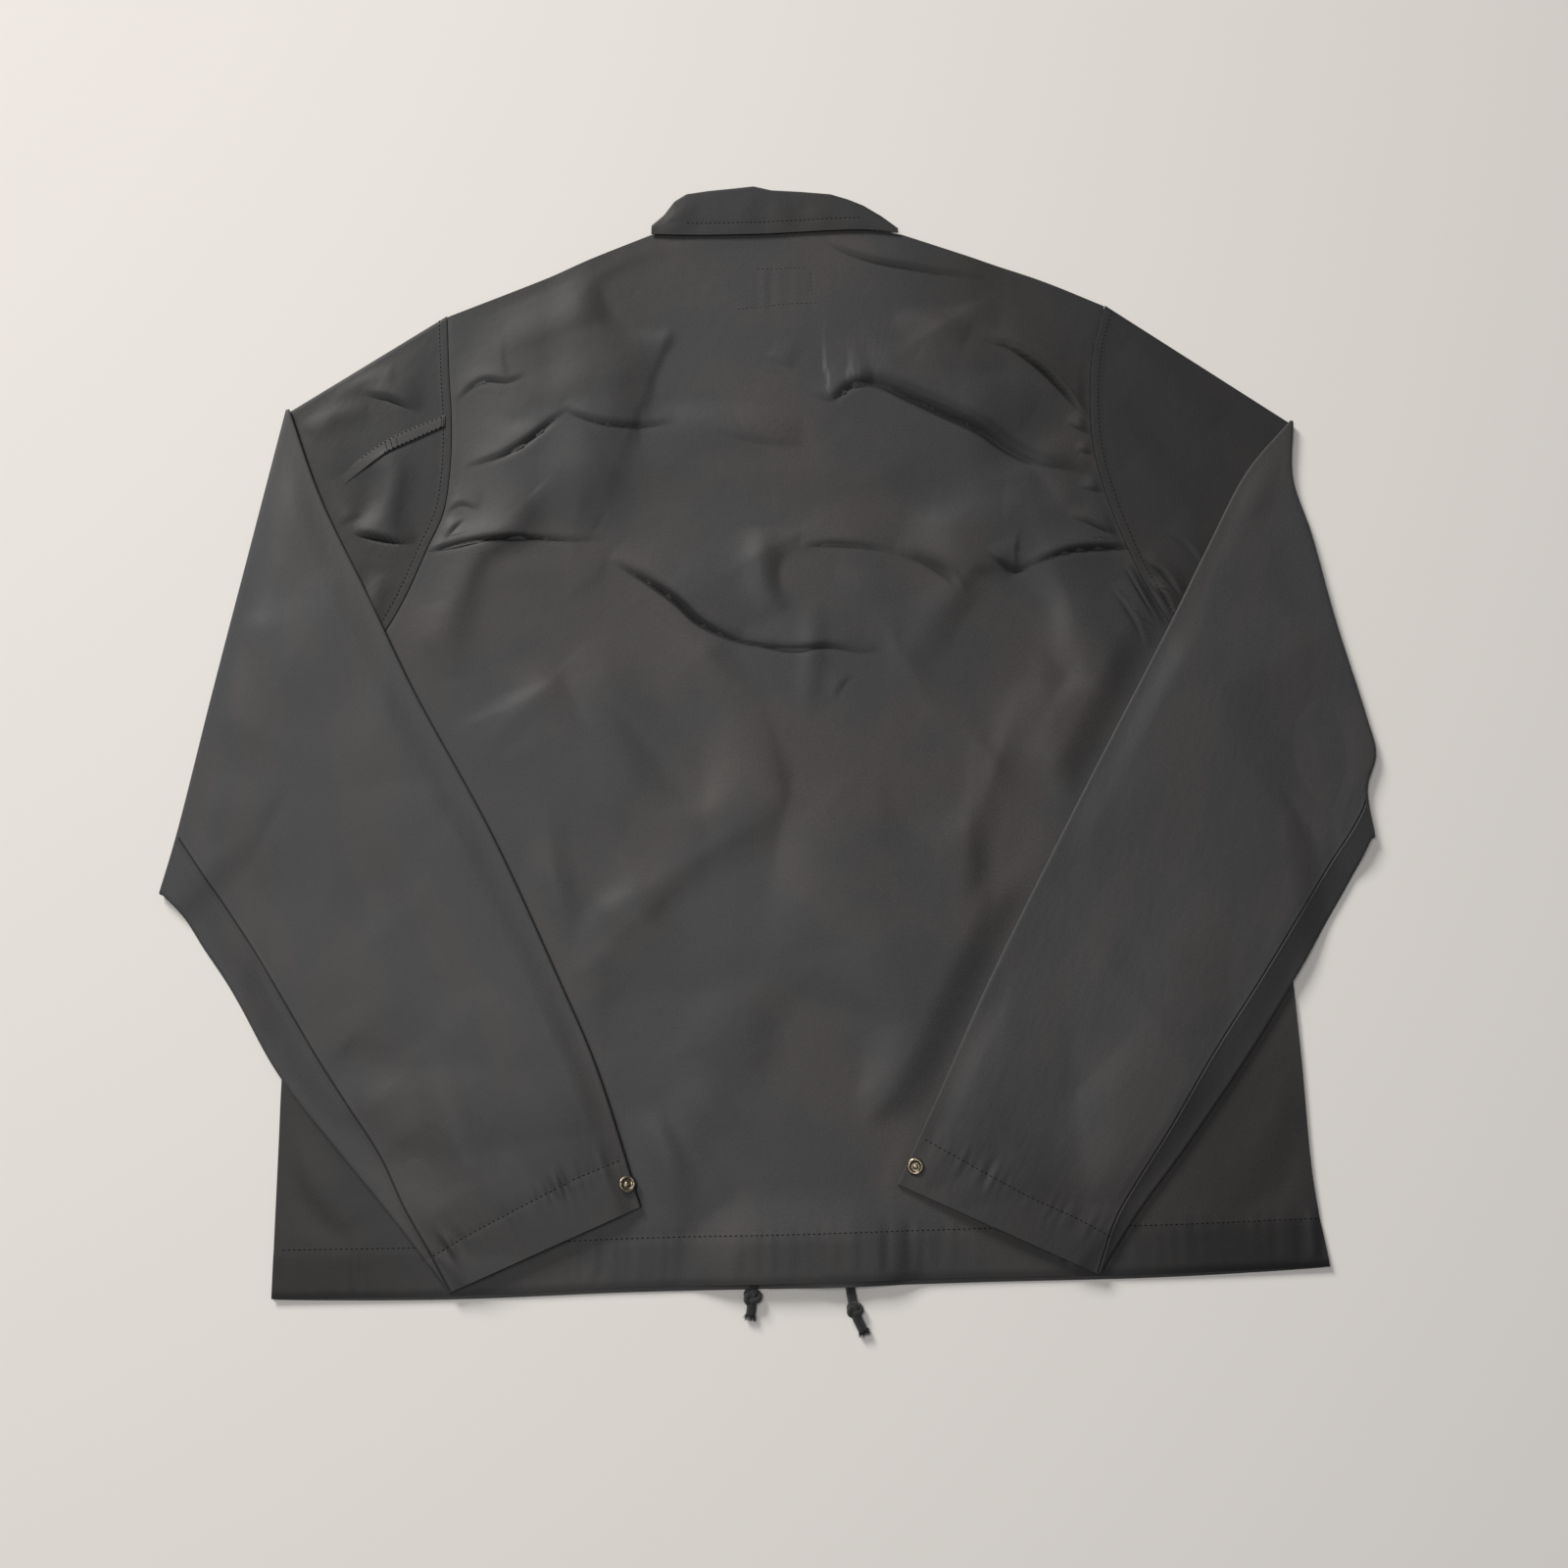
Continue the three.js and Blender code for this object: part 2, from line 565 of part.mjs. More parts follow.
// A tube's closed wall: its outer and inner skins and a rim at each open end.
function sleeveTube(sleeve) {
  const shape = sleeveShape(sleeve);
  const stations = [...UPPER_RINGS];
  for (let i = 0; i <= TURN_RINGS; i++) stations.push(1 + i / TURN_RINGS);
  for (let i = 1; i <= FOLDED_RINGS; i++) stations.push(2 + i / FOLDED_RINGS);
  const points = [];
  for (const isOuter of [true, false])
    for (const along of stations) {
      const width = shape(along, 0, 0).distanceTo(shape(along, 1, 0));
      points.push(...sleeveRing(shape, along, isOuter, width));
    }
  const around = 2 * ACROSS + 4;
  const rings = stations.length;
  const at = (skin, ring, i) => (skin * rings + ring) * around + (i % around);
  const quads = [];
  for (let i = 0; i < around; i++) {
    for (let ring = 0; ring < rings - 1; ring++) {
      quads.push([at(0, ring, i), at(0, ring, i + 1), at(0, ring + 1, i + 1), at(0, ring + 1, i)]);
      quads.push([at(1, ring, i + 1), at(1, ring, i), at(1, ring + 1, i), at(1, ring + 1, i + 1)]);
    }
    quads.push([at(1, 0, i), at(1, 0, i + 1), at(0, 0, i + 1), at(0, 0, i)]);
    quads.push([at(0, rings - 1, i), at(0, rings - 1, i + 1), at(1, rings - 1, i + 1), at(1, rings - 1, i)]);
  }
  if (sleeve.side < 0) quads.forEach((quad) => quad.reverse());
  return fromQuads(points, quads);
}

// Collar

// The back collar: a stand that leaves the neck seam, turns over at the top and falls back over the seam.
function backCollar() {
  const low = BACK_REST + LAYER + WALL / 2;
  const high = low + 2 * COLLAR_TURN;
  const line = ({ x, top, lower }) => {
    const seam = neckY(x) + 2 * SEAM_GAP;
    const turnY = top - WALL / 2 - COLLAR_TURN;
    const path = [[seam, low, 0], [(seam + turnY) / 2, low, 0]];
    for (let i = 0; i <= 4; i++) {
      const angle = (i / 4 - 0.5) * Math.PI;
      path.push([turnY + COLLAR_TURN * Math.cos(angle), (low + high) / 2 + COLLAR_TURN * Math.sin(angle),
        angle + Math.PI / 2]);
    }
    path.push([(lower + turnY) / 2, high, Math.PI], [lower, high, Math.PI]);
    return path;
  };
  const lines = COLLAR_SECTIONS.map(line);
  const steps = lines[0].length - 1;
  const columns = COLLAR_SECTIONS.length - 1;
  // turned is the cloth's direction in the section, from straight out to straight back
  const skin = (offset) => (u, v) => {
    const i = Math.round(u * columns);
    const [y, z, turned] = lines[i][Math.round(v * steps)];
    return new THREE.Vector3(COLLAR_SECTIONS[i].x, y - offset * Math.sin(turned), z + offset * Math.cos(turned));
  };
  return named("collar", wall(columns, steps, skin(-WALL / 2), skin(WALL / 2)), collarCloth);
}

// A strip of cloth between two edges of one table, flat at one height.
function strip(rows, edges, across, z) {
  const [a, b] = edges.map((edge) => through(rows.map((row) => row[edge])));
  const steps = 3 * (rows.length - 1);
  return sheet(steps, across, (u, v) => a(u).lerp(b(u), v), () => z);
}

// A collar leaf lies on the floor under its front; the right one mirrors the left about the neck's middle.
function collarLeaf(name, side) {
  const mirrored = (p) => (side < 0 ? p : [2 * NECK_MIDDLE_X + 0.6 - p[0], p[1]]);
  const rows = LEAF_SECTIONS.map(({ inner, outer }) => ({ inner: mirrored(inner), outer: mirrored(outer) }));
  const edges = side < 0 ? ["outer", "inner"] : ["inner", "outer"];
  return named(name, strip(rows, edges, 4, 0), collarCloth);
}

// Hardware

// A ring snap's socket: a raised ring round a shallow well.
function cuffSnap(name, sleeve) {
  const r = SNAP_RADIUS;
  const h = SNAP_HEIGHT;
  const profile = [[0, 0], [r, 0], [r, 0.4 * h], [0.9 * r, 0.8 * h], [0.72 * r, h], [0.55 * r, 0.8 * h],
    [0.48 * r, 0.35 * h], [0, 0.35 * h]];
  const geometry = new THREE.LatheGeometry(profile.map(([x, y]) => new THREE.Vector2(x, y)), 20);
  const mesh = named(name, geometry, brass);
  mesh.rotation.x = Math.PI / 2;
  mesh.position.set(...sleeve.snap, 2 * TUBE + FOLD_GAP + SEAM_GAP);
  return mesh;
}

function frontSnapPlaces() {
  return Array.from({ length: FRONT_SNAPS }, (_, i) => {
    const y = FRONT_SNAP_FIRST_Y + i * FRONT_SNAP_STEP;
    return { x: centreFront(y), y };
  });
}

// The front snaps' caps face the floor, each in its own hole through the left front.
function frontSnap({ x, y }, i) {
  const geometry = new THREE.CylinderGeometry(FRONT_SNAP_RADIUS, FRONT_SNAP_RADIUS, WALL, 24);
  const mesh = named(`front_snap_${i + 1}`, geometry, brass);
  mesh.rotation.x = Math.PI / 2;
  mesh.position.set(x, y, leafRise(x, y, 0) + WALL / 2);
  return mesh;
}

// A cord end: ovals along its path, which swell at the knot.
function cordEnd(name, rows) {
  const points = [];
  rows.forEach(({ at, wide, high }, ring) => {
    const before = rows[Math.max(ring - 1, 0)].at;
    const after = rows[Math.min(ring + 1, rows.length - 1)].at;
    const way = plan(after).sub(plan(before)).normalize();
    const square = new THREE.Vector3(-way.y, way.x, 0);
    for (let i = 0; i < CORD_SIDES; i++) {
      const angle = (2 * Math.PI * i) / CORD_SIDES;
      const p = new THREE.Vector3(...at).addScaledVector(square, wide * Math.cos(angle));
      points.push(p.setZ(p.z + high * Math.sin(angle)));
    }
  });
  const quads = [];
  for (let ring = 0; ring < rows.length - 1; ring++)
    for (let i = 0; i < CORD_SIDES; i++) {
      const next = (i + 1) % CORD_SIDES;
      const [a, b] = [ring * CORD_SIDES, (ring + 1) * CORD_SIDES];
      quads.push([a + i, a + next, b + next, b + i]);
    }
  for (const [first, flip] of [[0, true], [(rows.length - 1) * CORD_SIDES, false]])
    for (let i = 1; i < CORD_SIDES - 2; i += 2) {
      const quad = [first, first + i, first + i + 1, first + i + 2];
      quads.push(flip ? quad.reverse() : quad);
    }
  return named(name, fromQuads(points, quads), cord);
}

const group = new THREE.Group();
group.add(
  leftFront(),
  rightFront(),
  backPanel(),
  named("sleeve_left", sleeveTube(LEFT_SLEEVE), cloth),
  named("sleeve_right", sleeveTube(RIGHT_SLEEVE), cloth),
  backCollar(),
  collarLeaf("collar_leaf_left", -1),
  collarLeaf("collar_leaf_right", 1),
  named("sleeve_welt", strip(WELT_SECTIONS, ["upper", "lower"], 2, TUBE + SEAM_GAP), cloth),
  cuffSnap("cuff_snap_left", LEFT_SLEEVE),
  cuffSnap("cuff_snap_right", RIGHT_SLEEVE),
  ...frontSnapPlaces().map(frontSnap),
  cordEnd("drawcord_left", LEFT_CORD),
  cordEnd("drawcord_right", RIGHT_CORD),
);

export default group;
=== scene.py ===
import math

import bpy
import numpy as np
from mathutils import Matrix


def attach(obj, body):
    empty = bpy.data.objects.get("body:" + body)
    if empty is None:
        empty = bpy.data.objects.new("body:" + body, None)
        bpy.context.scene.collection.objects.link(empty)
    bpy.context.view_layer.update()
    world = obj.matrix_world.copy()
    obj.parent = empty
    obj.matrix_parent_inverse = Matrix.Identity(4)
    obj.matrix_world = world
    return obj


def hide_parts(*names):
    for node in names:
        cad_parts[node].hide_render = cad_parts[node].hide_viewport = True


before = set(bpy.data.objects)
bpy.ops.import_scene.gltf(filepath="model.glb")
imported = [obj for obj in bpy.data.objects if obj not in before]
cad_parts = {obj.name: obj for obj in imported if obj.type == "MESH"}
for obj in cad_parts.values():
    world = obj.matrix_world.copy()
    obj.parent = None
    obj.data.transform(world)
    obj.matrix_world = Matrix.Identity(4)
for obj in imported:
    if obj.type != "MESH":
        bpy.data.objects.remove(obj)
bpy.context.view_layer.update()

# Camera, floor and light
# The jacket lies face down on a plain pale floor. The camera stands above its hem and looks down, tilted
# toward the collar. A large soft light past the collar works as a window does, with a dim panel overhead.
MM = 0.001
CAMERA_PLACE = (0.0087, -0.2734, 0.9438)
CAMERA_TILT = 13
WINDOW = {"place": (-3.0, 4.3, 2.7), "aim": (0, 0, 0), "size": 1.8, "power": 360, "color": (1.0, 0.97, 0.93)}
PANEL = {"place": (-0.5, -0.1, 2.0), "aim": (-0.5, -0.1, 0), "size": 0.9, "power": 15,
         "color": (1.0, 0.985, 0.96)}
SKY = (0.12, 0.123, 0.132)
FLOOR_COLOR = (0.80, 0.775, 0.74)
FLOOR_HALF = 6.0
FLOOR_Z = -0.0003  # just under the cloth, so that the two never share a plane

scene = bpy.context.scene
scene.view_settings.view_transform = "Standard"
camera = bpy.data.objects.new("camera", bpy.data.cameras.new("camera"))
camera.location = CAMERA_PLACE
camera.rotation_euler = (math.radians(CAMERA_TILT), 0, 0)
camera.data.sensor_fit = "HORIZONTAL"
camera.data.sensor_width = 36
camera.data.lens = 36
camera.data.clip_start = 0.01
scene.collection.objects.link(camera)
scene.camera = camera


def soft_light(name, place, aim, size, power, color):
    """A square area light at a place, turned so that it looks at the aim."""
    light = bpy.data.objects.new(name, bpy.data.lights.new(name, "AREA"))
    light.data.size = size
    light.data.energy = power
    light.data.color = color
    light.location = place
    way = light.location.copy()
    way.x -= aim[0]
    way.y -= aim[1]
    way.z -= aim[2]
    light.rotation_euler = way.to_track_quat("Z", "Y").to_euler()
    scene.collection.objects.link(light)


soft_light("window", **WINDOW)
soft_light("panel", **PANEL)
scene.world = bpy.data.worlds.new("sky")
scene.world.use_nodes = True
scene.world.node_tree.nodes["Background"].inputs["Color"].default_value = (*SKY, 1)

floor_mesh = bpy.data.meshes.new("floor")
floor_corners = [(x * FLOOR_HALF, y * FLOOR_HALF, FLOOR_Z) for x, y in ((-1, -1), (1, -1), (1, 1), (-1, 1))]
floor_mesh.from_pydata(floor_corners, [], [(0, 1, 2, 3)])
floor = bpy.data.objects.new("floor", floor_mesh)
scene.collection.objects.link(floor)
floor_paint = bpy.data.materials.new("floor_paint")
floor_paint.use_nodes = True
floor_shader = floor_paint.node_tree.nodes["Principled BSDF"]
floor_shader.inputs["Base Color"].default_value = (*FLOOR_COLOR, 1)
floor_shader.inputs["Roughness"].default_value = 0.95
floor_shader.inputs["Specular IOR Level"].default_value = 0.1
floor_mesh.materials.append(floor_paint)

# Fronts
# The two front panels lie flat on the floor under the back, the left one under the right one at the placket.
# They are single layers of nylon taffeta, sewn to the back at the sides, the armholes and the shoulders.
WALL = 1.0
SEAM_GAP = 0.3
LAYER = WALL + SEAM_GAP
CLOTH = 0.45  # the thickness that the cloth itself shows
FRONT_LIFT = 0.6  # the top of the fronts' cloth, above the underside of their solids
LEFT_UNDERARM = (-284, -28)
RIGHT_UNDERARM = (299, -28)
LEFT_SHOULDER_TIP = (-214, 261)
RIGHT_SHOULDER_TIP = (221, 269)
LEFT_ARMHOLE = [LEFT_UNDERARM, (-273, -4), (-259, 19), (-243, 42), (-231, 66), (-219, 98), (-210, 122),
                (-207, 150), (-207.5, 185), (-211, 222), LEFT_SHOULDER_TIP]
RIGHT_ARMHOLE = [RIGHT_UNDERARM, (286, -4), (270, 20), (253, 47), (237, 77), (225, 107), (215, 139),
                 (209, 170), (208.5, 205), (212, 238), RIGHT_SHOULDER_TIP]
LEFT_HEM_CORNER = (-285, -359)
RIGHT_HEM_CORNER = (323, -341)
LEFT_SIDE = [LEFT_HEM_CORNER, (-287, -274), (-288, -233), (-287, -130), LEFT_UNDERARM]
RIGHT_SIDE = [RIGHT_HEM_CORNER, (317, -294), (315, -217), (311, -130), RIGHT_UNDERARM]
BACK_HEM = [LEFT_HEM_CORNER, (-180, -357), (-81, -352.5), (17, -350), (120, -347), (223, -345),
            RIGHT_HEM_CORNER]
FRONT_HEM_DROP = 3
NECK_MIDDLE_X = 4
NECK_HALF = 84
NECK_TOP = 328
NECK_DIP = 7
FRONT_NECK_DROP = 75
NECK_LOW = NECK_TOP - NECK_DIP
LEFT_SHOULDER = [LEFT_SHOULDER_TIP, (-150, 289), (-116, 305), (NECK_MIDDLE_X - NECK_HALF, NECK_LOW)]
RIGHT_SHOULDER = [(NECK_MIDDLE_X + NECK_HALF, NECK_LOW), (132, 305), (179, 288), RIGHT_SHOULDER_TIP]
OVERLAP = 38
PLACKET_HEM = (19, -354)
PLACKET_NECK = (4, 246)
LEAF_AREA = {"middle": (4, 250), "half": (112, 82), "run": 30}
CORD_LIFT = 4.4
CORD_Y = -345
LEFT_CORD_X = -4
RIGHT_CORD_X = 45
PANEL_STEP = 3  # the inner skin has every third line of the outer one
FRONT_COLUMNS = 90
FRONT_ROWS = 96


def ramp(x, low, high):
    """0 up to low, 1 from high on, and between them 3 t^2 - 2 t^3 of the share t of the way."""
    t = np.clip((x - low) / (high - low), 0, 1)
    return t * t * (3 - 2 * t)


def run_along(line):
    """How far along a row of points each of them lies."""
    return np.concatenate([[0], np.cumsum(np.linalg.norm(np.diff(line, axis=0), axis=1))])


def through(points):
    """A smooth curve through points, as a function of the share of its length, from 0 to 1.
    Each span is a Catmull-Rom span whose knots are as far apart as the square root of the points' distance."""
    p = np.asarray(points, float)
    p = np.vstack([2 * p[0] - p[1], p, 2 * p[-1] - p[-2]])
    knot = np.concatenate([[0], np.cumsum(np.linalg.norm(np.diff(p, axis=0), axis=1) ** 0.5)])
    share = np.linspace(0, 1, 40, endpoint=False)[:, None]
    spans = []
    for i in range(1, len(p) - 2):
        t0, t1, t2, t3 = knot[i - 1:i + 3]
        t = t1 + (t2 - t1) * share
        a = (p[i - 1] * (t1 - t) + p[i] * (t - t0)) / (t1 - t0)
        b = (p[i] * (t2 - t) + p[i + 1] * (t - t1)) / (t2 - t1)
        c = (p[i + 1] * (t3 - t) + p[i + 2] * (t - t2)) / (t3 - t2)
        ab = (a * (t2 - t) + b * (t - t0)) / (t2 - t0)
        bc = (b * (t3 - t) + c * (t - t1)) / (t3 - t1)
        spans.append((ab * (t2 - t) + bc * (t - t1)) / (t2 - t1))
    line = np.vstack(spans + [p[-2:-1]])
    length = run_along(line)

    def curve(t):
        place = np.asarray(t, float) * length[-1]
        return np.stack([np.interp(place, length, line[:, k]) for k in range(line.shape[1])], -1)

    return curve


def joined(*parts):
    """One curve made of several, each given with its number of steps, which sets its share of the way."""
    starts = np.cumsum([0] + [steps for _, steps in parts])

    def curve(t):
        step = np.asarray(t, float) * starts[-1]
        place = parts[0][0](step / parts[0][1])
        for (part, steps), start in zip(parts[1:], starts[1:]):
            place = np.where((step > start)[..., None], part((step - start) / steps), place)
        return place

    return curve


def panel(bottom, top, left, right):
    """A panel's plan, stretched between its four edges: the sum of the two blends of facing edges, less the
    blend of the four corners. u runs from left to right and v from bottom to top."""
    corners = [bottom(0.0), bottom(1.0), top(0.0), top(1.0)]

    def place(u, v):
        a = u[..., None]
        b = v[..., None]
        return (bottom(u) * (1 - b) + top(u) * b + left(v) * (1 - a) + right(v) * a
                - corners[0] * (1 - a) * (1 - b) - corners[1] * a * (1 - b)
                - corners[2] * (1 - a) * b - corners[3] * a * b)

    return place


def cloth_piece(name, outer, inner, uv, round_way=False, **attributes):
    """A closed wall of cloth from two grids of points in millimetres: a fine outer skin, an inner skin that has
    every third of its lines, and rims whose faces take in the fine points of one coarse step. round_way closes
    the columns into a tube. Attributes hold one value for each point of the outer skin."""
    step = PANEL_STEP
    rows, columns = outer.shape[:2]
    number = np.arange(rows * columns).reshape(rows, columns)
    coarse_rows, coarse_columns = inner.shape[:2]
    coarse = rows * columns + np.arange(coarse_rows * coarse_columns).reshape(coarse_rows, coarse_columns)
    if round_way:
        number = np.hstack([number, number[:, :1]])
        coarse = np.hstack([coarse, coarse[:, :1]])

    def quads(grid):
        return np.stack([grid[:-1, :-1], grid[:-1, 1:], grid[1:, 1:], grid[1:, :-1]], -1).reshape(-1, 4)

    def rim(fine, plain):
        return [(plain[i], plain[i + 1], *fine[step * i:step * i + step + 1][::-1])
                for i in range(len(plain) - 1)]

    faces = quads(number).tolist() + quads(coarse)[:, ::-1].tolist()
    rims = rim(number[0], coarse[0]) + rim(number[-1][::-1], coarse[-1][::-1])
    if not round_way:
        rims += rim(number[:, -1], coarse[:, -1]) + rim(number[::-1, 0], coarse[::-1, 0])
    faces += [[int(i) for i in face] for face in rims]
    points = np.vstack([outer.reshape(-1, 3), inner.reshape(-1, 3)]) * MM
    mesh = bpy.data.meshes.new(name)
    mesh.from_pydata(points.tolist(), [], faces)
    both = {key: np.concatenate([value.ravel(), value[::step, ::step].ravel()])
            for key, value in attributes.items()}
    flat = np.vstack([uv.reshape(-1, 2), uv[::step, ::step].reshape(-1, 2)]) * MM
    corner = np.empty(len(mesh.loops), np.int32)
    mesh.loops.foreach_get("vertex_index", corner)
    mesh.uv_layers.new(name="cut").data.foreach_set("uv", flat[corner].ravel())
    for key, value in both.items():
        mesh.attributes.new(key, "FLOAT", "POINT").data.foreach_set("value", value.astype(np.float32))
    mesh.shade_smooth()
    mesh.set_sharp_from_angle(angle=math.radians(55))
    piece = bpy.data.objects.new(name, mesh)
    scene.collection.objects.link(piece)
    return piece


def center_front(y):
    """The centre front line's place across the garment: a straight lean from hem to neck."""
    share = (y - PLACKET_HEM[1]) / (PLACKET_NECK[1] - PLACKET_HEM[1])
    return PLACKET_HEM[0] + (PLACKET_NECK[0] - PLACKET_HEM[0]) * share


def past_left_front(x, y):
    """How far a place lies past the left front's edge."""
    return x - (center_front(y) + OVERLAP / 2)


def leaf_rise(x, y, spread):
    """One layer's height over the collar's leaves, on a rectangle with a soft edge that spread widens."""
    out_x = np.maximum(np.abs(x - LEAF_AREA["middle"][0]) - LEAF_AREA["half"][0] - spread, 0)
    out_y = np.maximum(np.abs(y - LEAF_AREA["middle"][1]) - LEAF_AREA["half"][1] - spread, 0)
    return LAYER * (1 - ramp(np.hypot(out_x, out_y), 0, LEAF_AREA["run"]))


def cord_rise(x, y, from_x, to_x, flat, run):
    """The hem's height over a cord end: flat near the line between two ends, then a soft run down."""
    out_x = np.maximum(np.maximum(from_x - x, x - to_x), 0)
    return CORD_LIFT * (1 - ramp(np.hypot(out_x, y - CORD_Y), flat, flat + run))


def neck_y(x):
    """The back neck seam: a shallow arch, highest at the middle."""
    return NECK_TOP - NECK_DIP * ((x - NECK_MIDDLE_X) / NECK_HALF) ** 2


back_hem = through(BACK_HEM)
left_shoulder = through(LEFT_SHOULDER)
right_shoulder = through(RIGHT_SHOULDER)


def front_hem(u):
    """The front hem: the back's, a few millimetres lower but for its ends."""
    place = back_hem(u)
    drop = FRONT_HEM_DROP * np.sqrt(np.clip(np.sin(np.pi * np.asarray(u, float)), 0, 1))
    return place - np.stack([np.zeros_like(drop), drop], -1)


def hem_share(x):
    """The share of the hem's length at which it passes a place across the garment."""
    share = np.linspace(0, 1, 2001)
    return np.interp(x, back_hem(share)[:, 0], share)


def front_neck(side):
    """Half of the front neckline, from a neck point down to the placket's edge past the middle."""
    edge = NECK_MIDDLE_X + side * NECK_HALF
    top = NECK_TOP - NECK_DIP
    low = top - FRONT_NECK_DROP
    shares = [(0.92, low + 46), (0.62, low + 18), (0.19, low + 3)]
    middle = [(NECK_MIDDLE_X + (edge - NECK_MIDDLE_X) * share, y) for share, y in shares]
    return [(edge, top), *middle, (NECK_MIDDLE_X - side * OVERLAP / 2, low)]


def straight(a, b):
    """The straight line between two points."""
    a = np.asarray(a, float)
    b = np.asarray(b, float)
    return lambda t: a + (b - a) * np.asarray(t, float)[..., None]


def laid_panel(name, columns, rows, place, height, lift, marks=None):
    """A panel from its plan, from the height of its solid's underside and from its own skin's height above
    that. Marks is a function that gives its attributes. Returns the piece and the points of its upper skin."""
    u, v = np.meshgrid(columns, rows)
    plan = place(u, v)
    skin = np.dstack([plan, height(plan[..., 0], plan[..., 1], u, v) + lift])
    inner = (skin - (0, 0, CLOTH))[::PANEL_STEP, ::PANEL_STEP]
    attributes = marks(plan[..., 0], plan[..., 1]) if marks else {}
    return cloth_piece(name, skin, inner, plan, **attributes), skin


class Number:
    """A number that changes over a surface: a node's output, on which the operators add Math nodes."""

    def __init__(self, tree, socket):
        self.tree = tree
        self.socket = socket

    def math(self, operation, *values):
        node = self.tree.nodes.new("ShaderNodeMath")
        node.operation = operation
        for socket, value in zip(node.inputs, values):
            if isinstance(value, Number):
                self.tree.links.new(value.socket, socket)
            else:
                socket.default_value = value
        return Number(self.tree, node.outputs[0])

    def __add__(self, other):
        return self.math("ADD", self, other)

    def __sub__(self, other):
        return self.math("SUBTRACT", self, other)

    def __mul__(self, other):
        return self.math("MULTIPLY", self, other)

    def __truediv__(self, other):
        return self.math("DIVIDE", self, other)

    def __rsub__(self, other):
        return self.math("SUBTRACT", other, self)

    def __pow__(self, other):
        return self.math("POWER", self, other)

    def __abs__(self):
        return self.math("ABSOLUTE", self)

    __radd__ = __add__
    __rmul__ = __mul__

    def above(self, low, high):
        """0 up to low, 1 from high on, and a smooth step between."""
        node = self.tree.nodes.new("ShaderNodeMapRange")
        node.interpolation_type = "SMOOTHSTEP"
        self.tree.links.new(self.socket, node.inputs["Value"])
        node.inputs["From Min"].default_value = low
        node.inputs["From Max"].default_value = high
        return Number(self.tree, node.outputs["Result"])


class Finish:
    """A material that is put together from nodes and ends in one Principled shader."""

    def __init__(self, name, **constants):
        self.material = bpy.data.materials.new(name)
        self.material.use_nodes = True
        self.tree = self.material.node_tree
        self.shader = self.tree.nodes["Principled BSDF"]
        for socket, value in constants.items():
            self.shader.inputs[socket.replace("_", " ")].default_value = value

    def node(self, kind, settings, **sockets):
        """Any node: its kind, its settings, which are set first, and the values or links of its sockets."""
        node = self.tree.nodes.new(kind)
        for key, value in settings.items():
            setattr(node, key, value)
        for key, value in sockets.items():
            socket = node.inputs[key.replace("_", " ")]
            self.put(value, socket)
        return node

    def put(self, value, socket):
        if isinstance(value, Number):
            value = value.socket
        if isinstance(value, bpy.types.NodeSocket):
            self.tree.links.new(value, socket)
        else:
            socket.default_value = value

    def number(self, node, output):
        return Number(self.tree, node.outputs[output])

    def noise(self, where, scale, detail=2.0, roughness=0.5):
        node = self.node("ShaderNodeTexNoise", {}, Vector=where, Scale=scale, Detail=detail, Roughness=roughness)
        return self.number(node, "Fac")

    def attribute(self, name):
        node = self.node("ShaderNodeAttribute", {"attribute_name": name})
        return self.number(node, "Fac")

    def mix(self, share, a, b):
        node = self.node("ShaderNodeMix", {"data_type": "RGBA"})
        self.put(share, node.inputs[0])
        self.put(a, node.inputs[6])
        self.put(b, node.inputs[7])
        return node.outputs[2]

    def stretched(self, where, scale):
        node = self.node("ShaderNodeMapping", {}, Vector=where)
        node.inputs["Scale"].default_value = scale
        return node.outputs["Vector"]

    def ends(self, color, roughness, height):
        """Joins the shader's colour, roughness and bump. The height is in millimetres."""
        self.put(color, self.shader.inputs["Base Color"])
        self.put(roughness, self.shader.inputs["Roughness"])
        bump = self.node("ShaderNodeBump", {}, Height=height, Distance=MM)
        self.tree.links.new(bump.outputs["Normal"], self.shader.inputs["Normal"])
        return self.material


